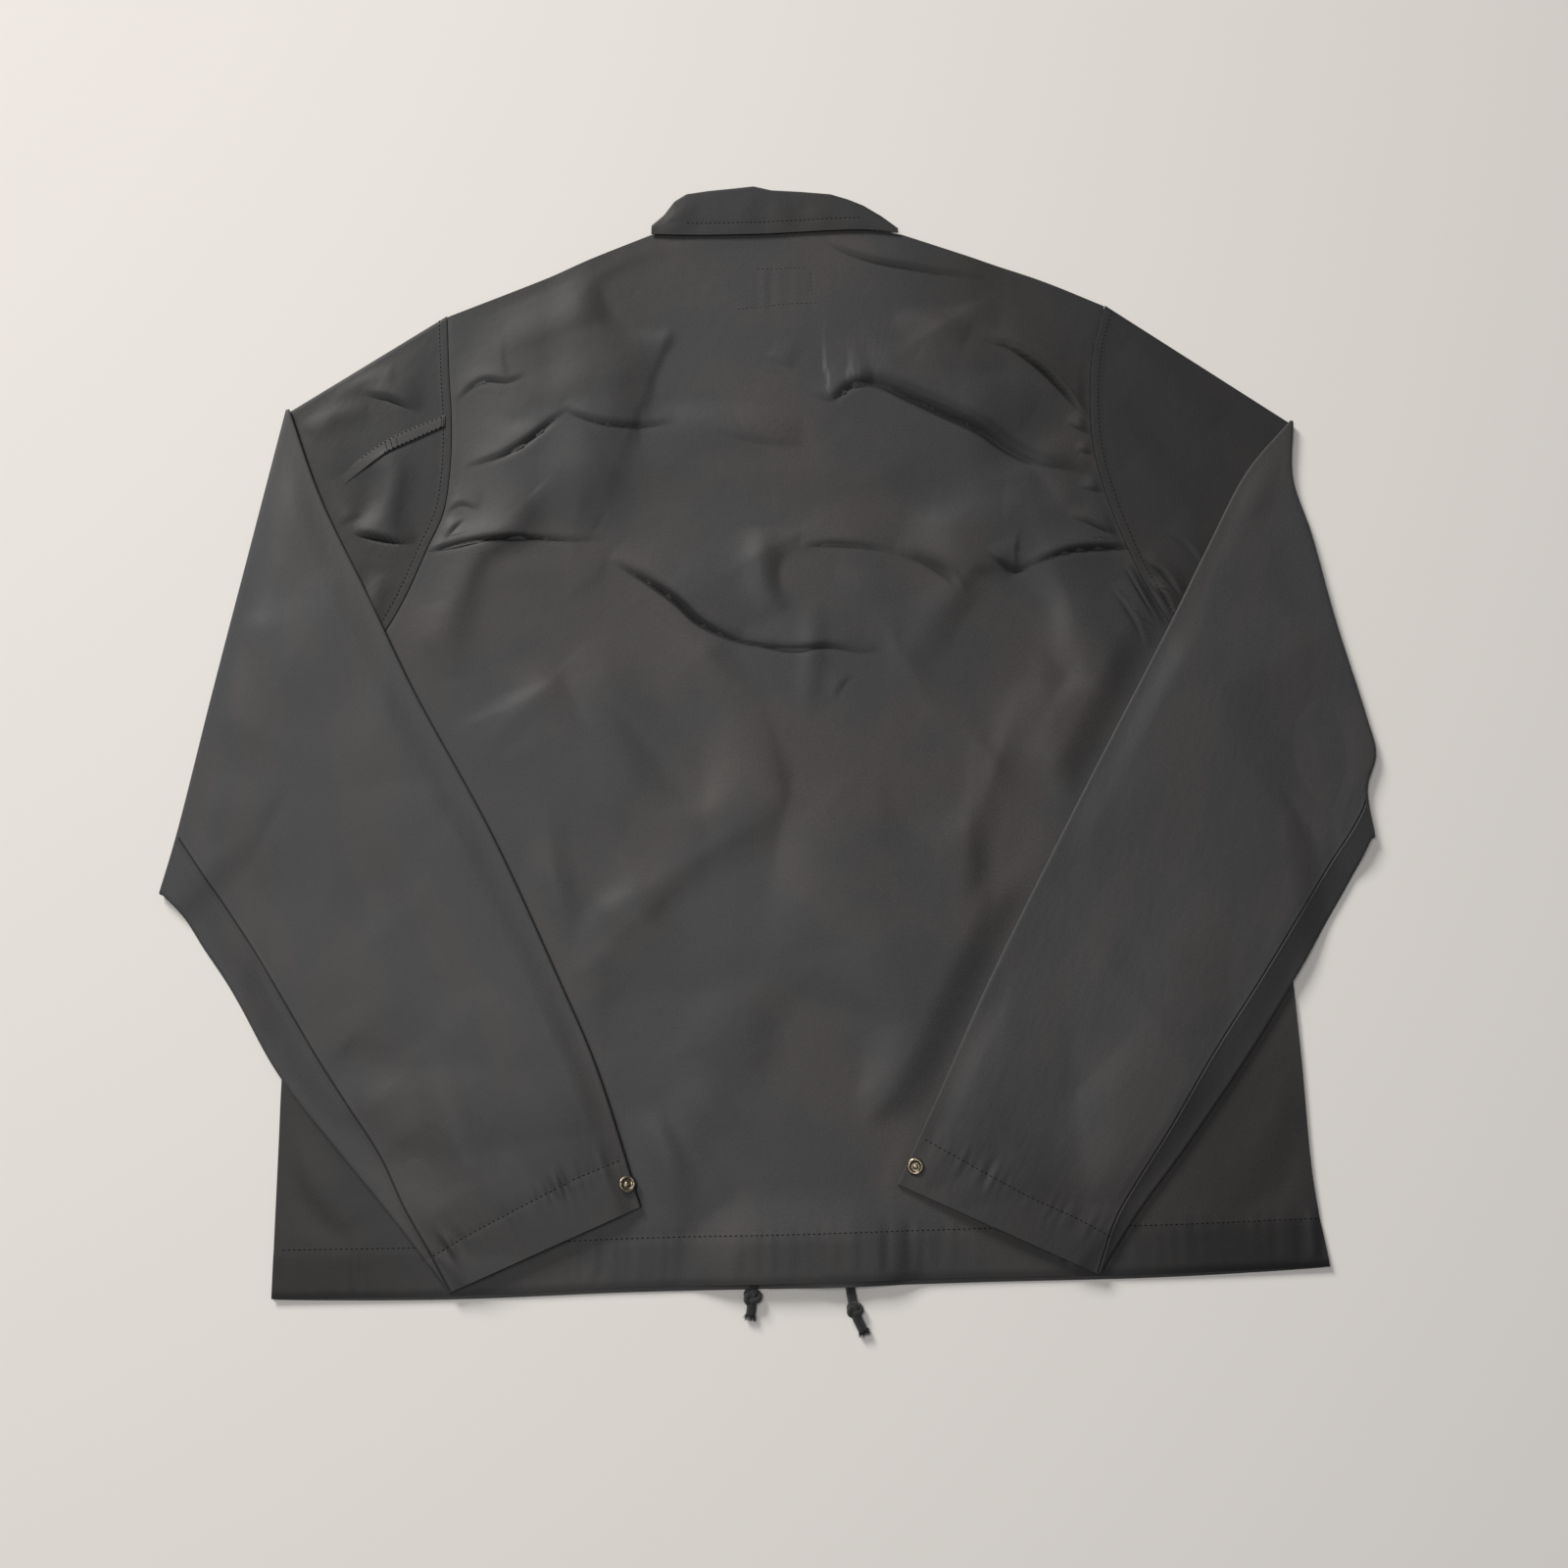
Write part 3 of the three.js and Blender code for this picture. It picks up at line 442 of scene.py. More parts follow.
def taffeta(name, cool, warm, seam=False):
    """Black nylon taffeta: fine crossed threads on the panel's own cut, a broad drift between a cool and a warm
    black, soft rumples of some centimetres, and where the piece has one, the groove of its sewn seam. Its colour
    carries painted shade: above each crease's sharp edge, in the seam's groove, and where the attributes say."""
    cloth = Finish(name, Sheen_Weight=0.04, Sheen_Roughness=0.4, Specular_IOR_Level=0.34)
    cut = cloth.node("ShaderNodeUVMap", {"uv_map": "cut"}).outputs["UV"]
    drift = cloth.noise(cut, 9, 3, 0.55)
    rumple = cloth.noise(cut, 26, 3, 0.5)
    crumple = cloth.noise(cut, 120, 2, 0.5)
    threads = cloth.noise(cloth.stretched(cut, (2600, 900, 1)), 1, 1)
    weft = cloth.noise(cloth.stretched(cut, (900, 2600, 1)), 1, 1)
    grain = cloth.noise(cut, 700, 2)
    tone = drift.above(0.43, 0.57)
    color = cloth.mix(tone, (*cool, 1), (*warm, 1))
    crisp = cloth.attribute("crisp")
    edge = cloth.attribute("crease")
    fold = 1 - abs(edge) / 0.45
    fold = fold.math("MAXIMUM", fold, 0.0) * crisp
    # Painted shade: the colour is darkened in the band above a crease's sharp edge and in its groove
    under = edge.above(-0.05, 0.1) * (1 - edge.above(0.4, 1.7)) * crisp * 0.27 + fold * fold * 0.2
    under = under.math("MINIMUM", under, 0.68)
    # The grain's own tone, times painted shade from the creases and from the broad regions the attributes mark
    shade = (0.68 + grain * 0.64) * (1 - under) * (1 - cloth.attribute("deeper"))
    height = rumple * 0.3 + crumple * 0.12 + threads * 0.02 + weft * 0.02 - fold * fold * 0.09
    if seam:
        distance = abs(cloth.attribute("seam"))
        groove = 1 - distance.above(0.15, 0.8)
        height = height - groove * 0.35 + (1 - distance.above(0.8, 3.0)) * 0.12
        # Painted shade: the colour is darkened in the seam's groove
        shade = shade * (1 - groove * 0.7)
    dark = cloth.node("ShaderNodeMix", {"data_type": "RGBA", "blend_type": "MULTIPLY"})
    dark.inputs[0].default_value = 1
    gray = cloth.node("ShaderNodeCombineColor", {}, Red=shade, Green=shade, Blue=shade)
    cloth.put(color, dark.inputs[6])
    cloth.put(gray.outputs["Color"], dark.inputs[7])
    rough = 0.5 + rumple * 0.06 + grain * 0.06
    return cloth.ends(dark.outputs[2], rough, height)


body_cloth = taffeta("body_taffeta", (0.0405, 0.0408, 0.043), (0.0496, 0.0456, 0.0442))


def front_left_height(x, y, u, v):
    return leaf_rise(x, y, 0)


def front_right_height(x, y, u, v):
    step_up = LAYER * (1 - ramp(past_left_front(x, y), 6, 24))
    return leaf_rise(x, y, 0) + step_up + cord_rise(x, y, RIGHT_CORD_X, RIGHT_CORD_X, 12, 24)


def side_edge(side, armhole):
    return joined((through(side), 1), (through(armhole), 2))


front_columns = np.linspace(0, 1, FRONT_COLUMNS + 1)
front_rows = np.linspace(0, 1, FRONT_ROWS + 1)
left_end = hem_share(PLACKET_HEM[0] + OVERLAP / 2)
left_neck = front_neck(-1)
front_left, _ = laid_panel(
    "front_left_cloth", front_columns, front_rows,
    panel(lambda u: front_hem(u * left_end),
          joined((left_shoulder, 7), (through(left_neck), 8)),
          side_edge(LEFT_SIDE, LEFT_ARMHOLE),
          straight(front_hem(left_end), left_neck[-1])),
    front_left_height, FRONT_LIFT)
right_start = hem_share(PLACKET_HEM[0] - OVERLAP / 2)
right_neck = front_neck(1)[::-1]
front_right, _ = laid_panel(
    "front_right_cloth", front_columns, front_rows,
    panel(lambda u: front_hem(right_start + u * (1 - right_start)),
          joined((through(right_neck), 8), (right_shoulder, 7)),
          straight(front_hem(right_start), right_neck[0]),
          side_edge(RIGHT_SIDE, RIGHT_ARMHOLE)),
    front_right_height, FRONT_LIFT)
for front, node in ((front_left, "front_left"), (front_right, "front_right")):
    front.data.materials.append(body_cloth)
    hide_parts(node)
    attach(front, "root")

# Back
# One whole panel of nylon taffeta that lies loose on the fronts between the folded sleeves. Its hem is turned
# up as a casing for the drawcord, and creases drawn out of the armholes stand up in it as soft ridges.
BACK_REST = LAYER
BACK_SWELL = 1.8
BACK_COLUMNS = 294
SIDE_SHARE = 1 / 3  # the part of a side edge below the underarm
LEFT_INNER_EDGE = [(-316, 193), (-290, 131), (-254, 63), (-223, 3), (-171, -87), (-126, -178), (-103, -228),
                   (-75, -308)]
RIGHT_INNER_EDGE = [(340, 185), (309, 150), (279, 97), (252, 46), (196, -56), (132, -177), (102, -240),
                    (75, -295)]
HEM_DEPTH = 27
# A crease: its line from left to right, its height, how far its crest lies from its sharp lower edge, the
# height of the lip below that edge, and where along it is highest
CREASES = [
    ([(224, 88), (234, 68), (246, 44)], 2.6, 4.6, 0.4, 0.5),
    ([(214, 72), (226, 54), (236, 30)], 1.6, 5.0, 0.3, 0.5),
    ([(-199, 153), (-186, 156), (-170, 161), (-153, 172), (-141, 184), (-131, 192)], 2.1, 4.6, 0.35, 0.55),
    ([(-136, 193), (-124, 186), (-108, 181), (-88, 180), (-61, 184)], 2.0, 4.6, 0.3, 0.45),
    ([(-221, 95), (-200, 99), (-180, 102), (-152, 104), (-128, 103), (-104, 104)], 2.4, 3.7, 0.3, 0.35),
    ([(-207, 104), (-202, 110), (-196, 117)], 1.1, 2.9, 0.2, 0.5),
    ([(-208, 122), (-199, 127), (-187, 123)], 1.0, 2.9, 0.2, 0.5),
    ([(-206, 199), (-198, 207), (-188, 213), (-172, 212), (-160, 217)], 1.5, 3.7, 0.2, 0.55),
    ([(33, 322), (38, 315), (48, 308), (69, 300), (99, 294), (142, 287)], 1.9, 3.9, 0.3, 0.45),
    ([(17, 208), (30, 202), (40, 200), (54, 209), (68, 212)], 2.0, 5.8, 0.3, 0.7),
    ([(50, 211), (68, 211), (90, 201), (111, 190), (136, 177), (153, 165), (171, 156), (194, 151),
      (213, 147)], 3.6, 8.2, 0.4, 0.35),
    ([(134, 246), (146, 240), (156, 237), (177, 221), (191, 206), (208, 186)], 3.2, 4.6, 0.45, 0.55),
    ([(190, 185), (199, 181), (208, 176)], 1.8, 3.0, 0.3, 0.6),
    ([(196, 166), (203, 164), (210, 162)], 1.5, 2.5, 0.25, 0.6),
    ([(197, 140), (205, 138), (215, 136)], 1.5, 2.5, 0.25, 0.6),
    ([(190, 119), (201, 115), (212, 110), (222, 106)], 2.0, 3.2, 0.35, 0.55),
    ([(137, 96), (145, 88), (155, 81), (166, 85)], 1.9, 5.2, 0.3, 0.5),
    ([(158, 83), (172, 88), (190, 94), (212, 97), (240, 98)], 2.4, 3.9, 0.4, 0.55),
    ([(20, 98), (32, 99), (44, 99), (66, 97), (84, 92)], 1.6, 4.1, 0.25, 0.4),
    ([(78, 95), (98, 88), (112, 78), (122, 66)], 2.0, 6.9, 0.2, 0.5),
    ([(-103, 90), (-90, 82), (-76, 73), (-60, 61), (-45, 47), (-23, 36), (-9, 32), (7, 30)],
     3.1, 5.8, 0.4, 0.45),
    ([(-18, 35), (-2, 31), (16, 29), (38, 31), (58, 28), (72, 30)], 1.9, 4.6, 0.35, 0.4),
    ([(40, -2), (46, 6), (52, 14)], 0.6, 3.4, 0.1, 0.5),
    ([(-4, 232), (4, 227), (14, 221)], 0.6, 3.4, 0.1, 0.5),
    ([(-38, 178), (-17, 171), (5, 168), (24, 168)], 0.6, 4.6, 0.1, 0.5),
]
# A soft fold: its line, its height (below 0 for a hollow) and its width
SOFT_FOLDS = [
    ([(-84, 182), (-50, 184), (-10, 180), (20, 178)], 2.2, 15),
    ([(26, 64), (27, 40), (25, 12), (20, -10)], 1.5, 9),
    ([(78, 264), (104, 257), (130, 246)], 1.9, 10),
    ([(-2, 112), (-6, 92), (-2, 72), (8, 56)], 1.6, 9),
    ([(14, 96), (8, 80), (12, 64)], -1.2, 8),
    ([(-216, 92), (-214, 76), (-218, 58)], -1.2, 9),
    ([(-150, 138), (-134, 124), (-112, 112)], 1.5, 10),
    ([(-200, 176), (-160, 196), (-118, 214), (-80, 226)], 1.0, 17),
    ([(-198, 240), (-140, 262), (-84, 276)], 0.6, 21),
    ([(-150, 150), (-110, 150), (-60, 165), (-20, 182)], 0.8, 18),
    ([(-196, 78), (-150, 84), (-104, 84)], 0.9, 14),
    ([(-214, 60), (-206, 40), (-200, 12)], 1.1, 13),
    ([(-228, 74), (-220, 52), (-221, 24)], -0.5, 9),
    ([(-2, 110), (-5, 92), (0, 70), (10, 54)], 1.1, 13),
    ([(22, 92), (14, 78), (18, 60)], -0.7, 10),
    ([(40, 76), (80, 66), (120, 46)], 1.0, 20),
    ([(-60, 84), (-30, 68), (0, 56)], 0.8, 16),
    ([(-120, 40), (-80, 18), (-30, -6)], 0.6, 25),
    ([(96, 232), (130, 214), (170, 190)], 1.1, 16),
    ([(60, 262), (100, 250), (150, 262)], 0.8, 18),
    ([(148, 208), (176, 184), (204, 170)], -0.5, 13),
    ([(150, 130), (180, 128), (206, 126)], 0.8, 12),
    ([(216, 70), (232, 52), (246, 26)], 1.1, 12),
    ([(226, 88), (240, 66), (256, 40)], -0.8, 9),
    ([(150, 60), (200, 40), (232, 6)], 0.7, 18),
    ([(60, 10), (100, -6), (150, -30)], 0.6, 23),
    ([(-20, -60), (-26, -130), (-34, -210)], 0.5, 23),
    ([(40, -70), (60, -150), (66, -240)], 0.5, 25),
    ([(-90, -40), (-86, -110), (-70, -180)], 0.5, 23),
    ([(-20, -250), (-60, -290), (-84, -318)], 0.5, 17),
    ([(20, -262), (6, -300), (-6, -334)], -0.5, 15),
    ([(46, -244), (70, -282), (84, -310)], 0.5, 16),
    ([(0, 150), (40, 152), (90, 140)], 0.7, 21),
    ([(-30, 232), (-12, 262), (-6, 300)], 0.5, 18),
    ([(44, 240), (38, 268), (30, 300)], 0.5, 17),
    ([(-110, 296), (-70, 300), (-36, 312)], -0.4, 16),
]


# The same on the lower corners, outside the sleeves
CORNER_FOLDS = [
    ([(-282, -240), (-262, -268), (-246, -290)], -0.7, 9),
    ([(-284, -262), (-266, -292), (-240, -318)], 0.7, 8),
    ([(-282, -290), (-262, -316), (-236, -330)], -0.6, 7),
    ([(314, -230), (296, -262), (270, -290)], 0.6, 11),
    ([(316, -262), (300, -292), (262, -318)], -0.6, 9),
]


def unit(way):
    """A direction of length 1."""
    return way / np.linalg.norm(way, axis=-1, keepdims=True)


def signed_distance(line, x, y):
    """The distance from a line to each place, above 0 on its left, and the share of the way along the line.
    Both come from the nearest of many points on it: the distance is square to the line there, or straight to
    the point at the line's two ends."""
    share = np.linspace(0, 1, 90)
    points = line(share)
    flat_x = x.ravel()[:, None]
    flat_y = y.ravel()[:, None]
    away = (points[:, 0] - flat_x) ** 2 + (points[:, 1] - flat_y) ** 2
    near = away.argmin(1)
    way = unit(np.gradient(points, axis=0))[near]
    gap = np.stack([flat_x[:, 0], flat_y[:, 0]], -1) - points[near]
    square = way[:, 0] * gap[:, 1] - way[:, 1] * gap[:, 0]
    straight_away = np.sqrt(away[np.arange(len(near)), near]) * np.where(square < 0, -1, 1)
    at_end = (near == 0) | (near == len(share) - 1)
    return np.where(at_end, straight_away, square).reshape(x.shape), share[near].reshape(x.shape)


def near_line(points, reach, x, y):
    """The places within reach of the box round some points."""
    p = np.asarray(points, float)
    low = p.min(0) - reach
    high = p.max(0) + reach
    return (x > low[0]) & (x < high[0]) & (y > low[1]) & (y < high[1])


def crease_height(rows, x, y):
    """The sum of the creases. On the upper side of its line a crease is a ridge of the distance t, in parts
    of its crest's distance: 3 t^2 - 2 t^3 up to the crest and s exp(1 - s) past it, with s = 1 + (t - 1) /
    1.5. The lower side has a small lip of the same form. Both grow and shrink as a sine along the line, so
    that the crease runs out at its ends."""
    total = np.zeros_like(x)
    for points, height, crest, lip, peak in rows:
        inside = near_line(points, 12 * crest, x, y)
        if not inside.any():
            continue
        distance, along = signed_distance(through(points), x[inside], y[inside])
        swell = np.sin(np.pi * along ** (math.log(0.5) / math.log(peak)))
        far = np.abs(distance) / np.where(distance > 0, crest * (0.45 + 0.55 * swell), 2.6)
        past = 1 + (far - 1) / 1.5
        form = np.where(far < 1, ramp(far, 0, 1), past * np.exp(1 - past))
        total[inside] += swell * np.where(distance > 0, height, lip) * form
    return total


def crease_marks(rows, x, y):
    """The distance from the strongest crease's sharp edge, above 0 on its upper side, in parts of its crest's
    distance, and how high that crease stands there. The cloth's finish draws the edge itself from them, as a
    bump and as painted shade in the band above it."""
    edge = np.full_like(x, 9.0)
    crisp = np.zeros_like(x)
    for points, height, crest, lip, peak in rows:
        inside = near_line(points, 2.5 * crest, x, y)
        if not inside.any():
            continue
        distance, along = signed_distance(through(points), x[inside], y[inside])
        swell = np.sin(np.pi * along ** (math.log(0.5) / math.log(peak)))
        share = distance / crest
        strength = height * swell * (1 - ramp(np.abs(share), 1.6, 2.4))
        stronger = strength > crisp[inside]
        edge[inside] = np.where(stronger, share, edge[inside])
        crisp[inside] = np.where(stronger, strength, crisp[inside])
    return {"crease": edge, "crisp": crisp}


def facets(x, y, seed, count, area, reach, slope):
    """The cloth's loose flat patches and the soft bends between them. Each bend is a line through a random
    place: a sqrt(d^2 + 3) of the distance d from the line, times exp(-(r / R)^2) of the distance r from the
    place. The sum h is kept between two limits as 2.6 tanh(h / 2.6)."""
    chance = np.random.default_rng(seed)
    total = np.zeros_like(x)
    for _ in range(count):
        from_x = x - chance.uniform(area[0], area[2])
        from_y = y - chance.uniform(area[1], area[3])
        turn = chance.uniform(0, np.pi)
        size = chance.uniform(*reach)
        bend = np.sqrt((from_x * np.cos(turn) + from_y * np.sin(turn)) ** 2 + 3)
        steep = slope * chance.uniform(0.5, 1) * chance.choice([-1, 1])
        total += steep * bend * np.exp(-(from_x ** 2 + from_y ** 2) / size ** 2)
    return 2.6 * np.tanh(total / 2.6)


def fold_height(rows, x, y):
    """The sum of soft folds, each exp(-(d / w)^2) of the distance d and its width w, and along its line a
    sine to the power 0.7."""
    total = np.zeros_like(x)
    for points, height, width in rows:
        inside = near_line(points, 3 * width, x, y)
        if not inside.any():
            continue
        distance, along = signed_distance(through(points), x[inside], y[inside])
        total[inside] += height * np.sin(np.pi * along) ** 0.7 * np.exp(-(distance / width) ** 2)
    return total


def puckers(along, seed, lengths=(7, 16), waves=9):
    """Uneven puckers along a sewn line: a sum of sines of several lengths in millimetres, about -1 to 1."""
    chance = np.random.default_rng(seed)
    total = np.zeros_like(along)
    for length in np.linspace(*lengths, waves):
        total += np.sin(2 * np.pi * along / length + chance.uniform(0, 2 * np.pi)) * chance.uniform(0.5, 1)
    return total / waves ** 0.5


def clear_of_sleeves(x, y):
    """0 under a folded sleeve, 1 from some 4 cm inside its inner edge on."""
    left = np.array(LEFT_INNER_EDGE[::-1], float)
    right = np.array(RIGHT_INNER_EDGE[::-1], float)
    from_left = x - np.interp(y, left[:, 1], left[:, 0])
    from_right = np.interp(y, right[:, 1], right[:, 0]) - x
    return ramp(from_left, 2, 30) * ramp(from_right, 2, 30)


def above_hem(x, y):
    """The distance above the back hem, straight up the garment."""
    share = np.linspace(0, 1, 400)
    hem = back_hem(share)
    return y - np.interp(x, hem[:, 0], hem[:, 1])


def back_height(x, y, u, v):
    """The underside's height: the layers below, a swell, folds and creases, all flat under the sleeves and
    along the seams, and the casing with its puckers at the hem."""
    past = past_left_front(x, y)
    overlap = LAYER * ramp(past + OVERLAP, -90, 20) * (1 - ramp(past, -20, 110)) * (1 - ramp(y, 200, 290))
    from_side = np.minimum(u, 1 - u)
    seams = ramp(from_side, 0.0, 0.02) * ramp(1 - v, 0.004, 0.03)
    swell = BACK_SWELL * ramp(v, 0, 0.2) * ramp(1 - v, 0, 0.3)
    slack = facets(x, y, 71, 170, (-290, -350, 310, 330), (22, 75), 0.165)
    loose = (swell + fold_height(SOFT_FOLDS, x, y) + slack) * clear_of_sleeves(x, y)
    loose = loose * ramp(from_side, 0, 0.13) * ramp(1 - v, 0.004, 0.09)
    loose = np.where(loose < 0, 0.5 * np.tanh(loose / 0.5), loose)
    sharp = crease_height(CREASES, x, y)
    up = above_hem(x, y)
    casing = 0.22 * ramp(up, 0, 3) * (1 - ramp(up, HEM_DEPTH - 4, HEM_DEPTH + 0.5))
    uneven = 0.5 + 0.5 * puckers(x, 12, (60, 140), 5)
    gathers = 0.3 * puckers(x, 11) * uneven * (1 - ramp(up, HEM_DEPTH - 4, HEM_DEPTH + 12)) * ramp(up, 1, 10)
    groove = (0.12 * puckers(x, 13, (5, 11)) - 0.15) * np.exp(-((up - HEM_DEPTH) / 3.2) ** 2)
    label = ramp(x, -26, -18) * (1 - ramp(x, 26, 34)) * ramp(y, 262, 272) * (1 - ramp(y, 290, 300))
    ripples = 0.06 * label * puckers(x, 14, (7, 13), 4)
    seam_roll = -0.15 * (1 - ramp(np.minimum(u, 1 - u), 0, 0.006)) * ramp(v, SIDE_SHARE, SIDE_SHARE + 0.05)
    corner = fold_height(CORNER_FOLDS, x, y) * ramp(u, 0, 0.03) * ramp(1 - u, 0, 0.03)
    return (BACK_REST + leaf_rise(x, y, 12) + overlap + corner
            + cord_rise(x, y, LEFT_CORD_X, RIGHT_CORD_X, 16, 30)
            + (loose + sharp) * seams + casing + gathers + groove + seam_roll + ripples)


def back_marks(x, y):
    """The creases' marks, and where painted shade darkens the cloth's colour: on the upper back and the
    shoulders, at the lower corners, and along the casing and its edge."""
    from_middle = np.abs(x - 10)
    corner = ramp(from_middle, 150, 260) * (1 - ramp(y, -260, -120))
    upper = 0.17 * ramp(y, -100, 120) * ramp(from_middle, 20, 150)
    shoulder = 0.22 * ramp(y, 150, 280) * ramp(np.abs(x - NECK_MIDDLE_X), 50, 130)
    up = above_hem(x, y)
    casing = 0.22 * (1 - ramp(up, HEM_DEPTH - 1, HEM_DEPTH + 1))
    edge = 0.25 * (1 - ramp(up, 1, 6))
    return {**crease_marks(CREASES, x, y), "deeper": upper + shoulder + 0.46 * corner + casing + edge}


def back_neck(t):
    """The back's top edge at the neck."""
    x = NECK_MIDDLE_X + NECK_HALF * (2 * np.clip(t, 0, 1) - 1)
    return np.stack([x, neck_y(x)], -1)


back_rows = np.concatenate([
    np.linspace(0, 0.045, 30, endpoint=False),
    np.linspace(0.045, SIDE_SHARE, 72, endpoint=False),
    np.linspace(SIDE_SHARE, 1, 172),
])
back_columns = np.linspace(0, 1, BACK_COLUMNS + 1)
back_place = panel(back_hem, joined((left_shoulder, 10), (back_neck, 14), (right_shoulder, 10)),
                   side_edge(LEFT_SIDE, LEFT_ARMHOLE), side_edge(RIGHT_SIDE, RIGHT_ARMHOLE))
back, back_skin = laid_panel("back_cloth", back_columns, back_rows, back_place, back_height, WALL,
                             back_marks)
back.data.materials.append(body_cloth)
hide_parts("back")
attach(back, "root")

# Sleeves
# Each sleeve is one panel of the same taffeta, sewn to a tube along the underarm. It leaves its armhole flat,
# turns over at a fold line and comes back down over the body to its hemmed cuff.
TUBE = 2.5
FOLD_GAP = 0.6
EDGE_ROUND = 1.0
DRAPE_START = 9
DRAPE_END = 32
CUT_ROW = 20  # the section whose girth the cloth's own map uses
FAR_FROM_SEAM = 30.0  # the distance that stands for no seam near
SLEEVE_ACROSS = 115
SLEEVE_EDGE = 5
CUFF_PLACES = (0, 0.25, 0.55, 0.8, 1)
LEFT_SLEEVE = {
    "side": -1,
    "armhole": LEFT_ARMHOLE,
    "underarm": LEFT_UNDERARM,
    "hem_corner": LEFT_HEM_CORNER,
    "fold": [(-316, 193), (-332, 98), (-348, 3), (-363, -90), (-370, -124)],
    "inner": LEFT_INNER_EDGE,
    "outer": [(-370, -124), (-357, -136), (-342, -156), (-325, -178), (-288, -233), (-248, -279),
              (-220, -310), (-182, -355)],
    "seam": [(-366, -78), (-363, -86), (-342, -115), (-322, -142), (-298, -175), (-267, -222), (-248, -249),
             (-226, -280), (-211, -308), (-197, -330), (-181, -356)],
    "upper_creases": [
        ([(-268, 206), (-258, 202), (-250, 200), (-240, 196), (-228, 192)], 1.9, 4.5, 0.2, 0.5),
        ([(-268, 108), (-260, 105), (-252, 103), (-240, 101), (-226, 101)], 2.8, 4.6, 0.3, 0.45),
        ([(-276, 113), (-270, 116), (-262, 120)], 0.8, 3, 0.3, 0.5),
    ],
    "upper_folds": [
        ([(-252, 166), (-243, 150), (-245, 130), (-250, 112)], 1.6, 9),
        ([(-262, 150), (-258, 132), (-262, 116)], -0.9, 9),
        ([(-290, 206), (-270, 216), (-246, 220)], 1.0, 9),
        ([(-300, 176), (-282, 190), (-262, 194)], 1.1, 8),
        ([(-246, 80), (-250, 66), (-254, 44)], 1.0, 7),
        ([(-252, 88), (-258, 74), (-262, 60)], -0.6, 7),
        ([(-296, 190), (-284, 168), (-276, 150)], 0.7, 10),
    ],
    "reach": (-370, -350, -60, 200),
    "pucker": 0.75,
    # How much painted shade darkens the upper sleeve, and the strip past the underarm seam
    "painted_shade_top": 0.6,
    "painted_shade_strip": 0,
    "flat": (0.65, 0.684),
    "area": 0.204,
    "folded_folds": [
        ([(-250, -214), (-236, -226), (-222, -240)], -1.8, 13),
        ([(-212, -270), (-200, -288), (-186, -304)], -1.9, 15),
        ([(-252, -196), (-232, -236), (-214, -270)], 1.4, 12),
        ([(-206, -214), (-188, -252), (-174, -292)], 1.6, 12),
        ([(-186, -210), (-160, -260), (-146, -300)], -0.5, 14),
        ([(-262, -160), (-240, -190), (-214, -214)], 0.6, 25),
        ([(-300, 60), (-280, -20), (-250, -90)], 0.7, 30),
        ([(-338, 20), (-330, -60), (-306, -120)], 0.5, 21),
        ([(-210, -60), (-190, -110), (-150, -180)], 0.5, 21),
        ([(-110, -250), (-100, -280), (-96, -300)], -0.4, 10),
    ],
    "seed": 21,
    "cuff_depth": (29, 30, 28, 26, 23),
}
RIGHT_SLEEVE = {
    "side": 1,
    "armhole": RIGHT_ARMHOLE,
    "underarm": RIGHT_UNDERARM,
    "hem_corner": RIGHT_HEM_CORNER,
    "fold": [(340, 185), (337, 146), (346, 108), (357, 49), (371, -13), (375, -37), (368, -59), (370, -89)],
    "inner": RIGHT_INNER_EDGE,
    "outer": [(370, -89), (356, -112), (338, -139), (316, -172), (285, -217), (242, -274), (213, -310),
              (189, -345)],
    "seam": [(370, -52), (368, -59), (363, -73), (342, -105), (317, -141), (294, -175), (259, -225),
             (233, -265), (213, -294), (200, -315), (188, -346)],
    "upper_creases": [
        ([(236, 92), (246, 84), (254, 74), (262, 62)], 2.2, 3.6, 0.4, 0.5),
        ([(240, 76), (248, 66), (256, 52)], 1.8, 3.2, 0.4, 0.5),
        ([(250, 108), (264, 100), (276, 84)], 1.2, 4, 0.2, 0.5),
    ],
    "upper_folds": [
        ([(232, 236), (262, 214), (292, 186)], 1.0, 18),
        ([(230, 200), (250, 180), (270, 150)], -0.6, 15),
        ([(234, 160), (258, 140), (280, 118)], 0.8, 14),
        ([(246, 96), (262, 76), (270, 54)], -1.0, 8),
    ],
    "reach": (60, -340, 375, 190),
    "pucker": 0.38,
    # How much painted shade darkens the upper sleeve, and the strip past the underarm seam
    "painted_shade_top": 0.5,
    "painted_shade_strip": 0.34,
    "flat": (0.647, 0.7),
    "area": 0.202,
    "folded_folds": [
        ([(250, -140), (236, -190), (210, -250)], 0.6, 23),
        ([(180, -150), (160, -200), (140, -250)], 0.5, 21),
        ([(300, 60), (290, 0), (270, -60)], 0.7, 25),
        ([(342, 30), (340, -30), (322, -80)], -0.5, 18),
        ([(226, 10), (204, -40), (176, -90)], 0.5, 18),
        ([(200, -230), (180, -262), (166, -290)], -0.5, 15),
        ([(134, -240), (120, -262), (112, -284)], 0.5, 13),
        ([(214, -262), (200, -282), (184, -310)], 0.5, 10),
    ],
    "seed": 31,
    "cuff_depth": (30, 27, 24, 24, 22),
}


def aside(way, side):
    """The direction square to a way in plan, to the left (-1) or to the right (1) of the garment."""
    square = np.stack([-way[..., 1], way[..., 0]], -1)
    return square * np.where(square[..., :1] * side < 0, -1, 1)


def outside_layers(sleeve, x, y):
    """How far a place lies outside both the body and the sleeve's upper part, where nothing is under it."""
    underarm = np.array(sleeve["underarm"], float)

    def past(end):
        way = unit(np.array(end, float) - underarm)
        return way[0] * (y - underarm[1]) - way[1] * (x - underarm[0])

    return np.minimum(-sleeve["side"] * past(sleeve["fold"][-1]), sleeve["side"] * past(sleeve["hem_corner"]))


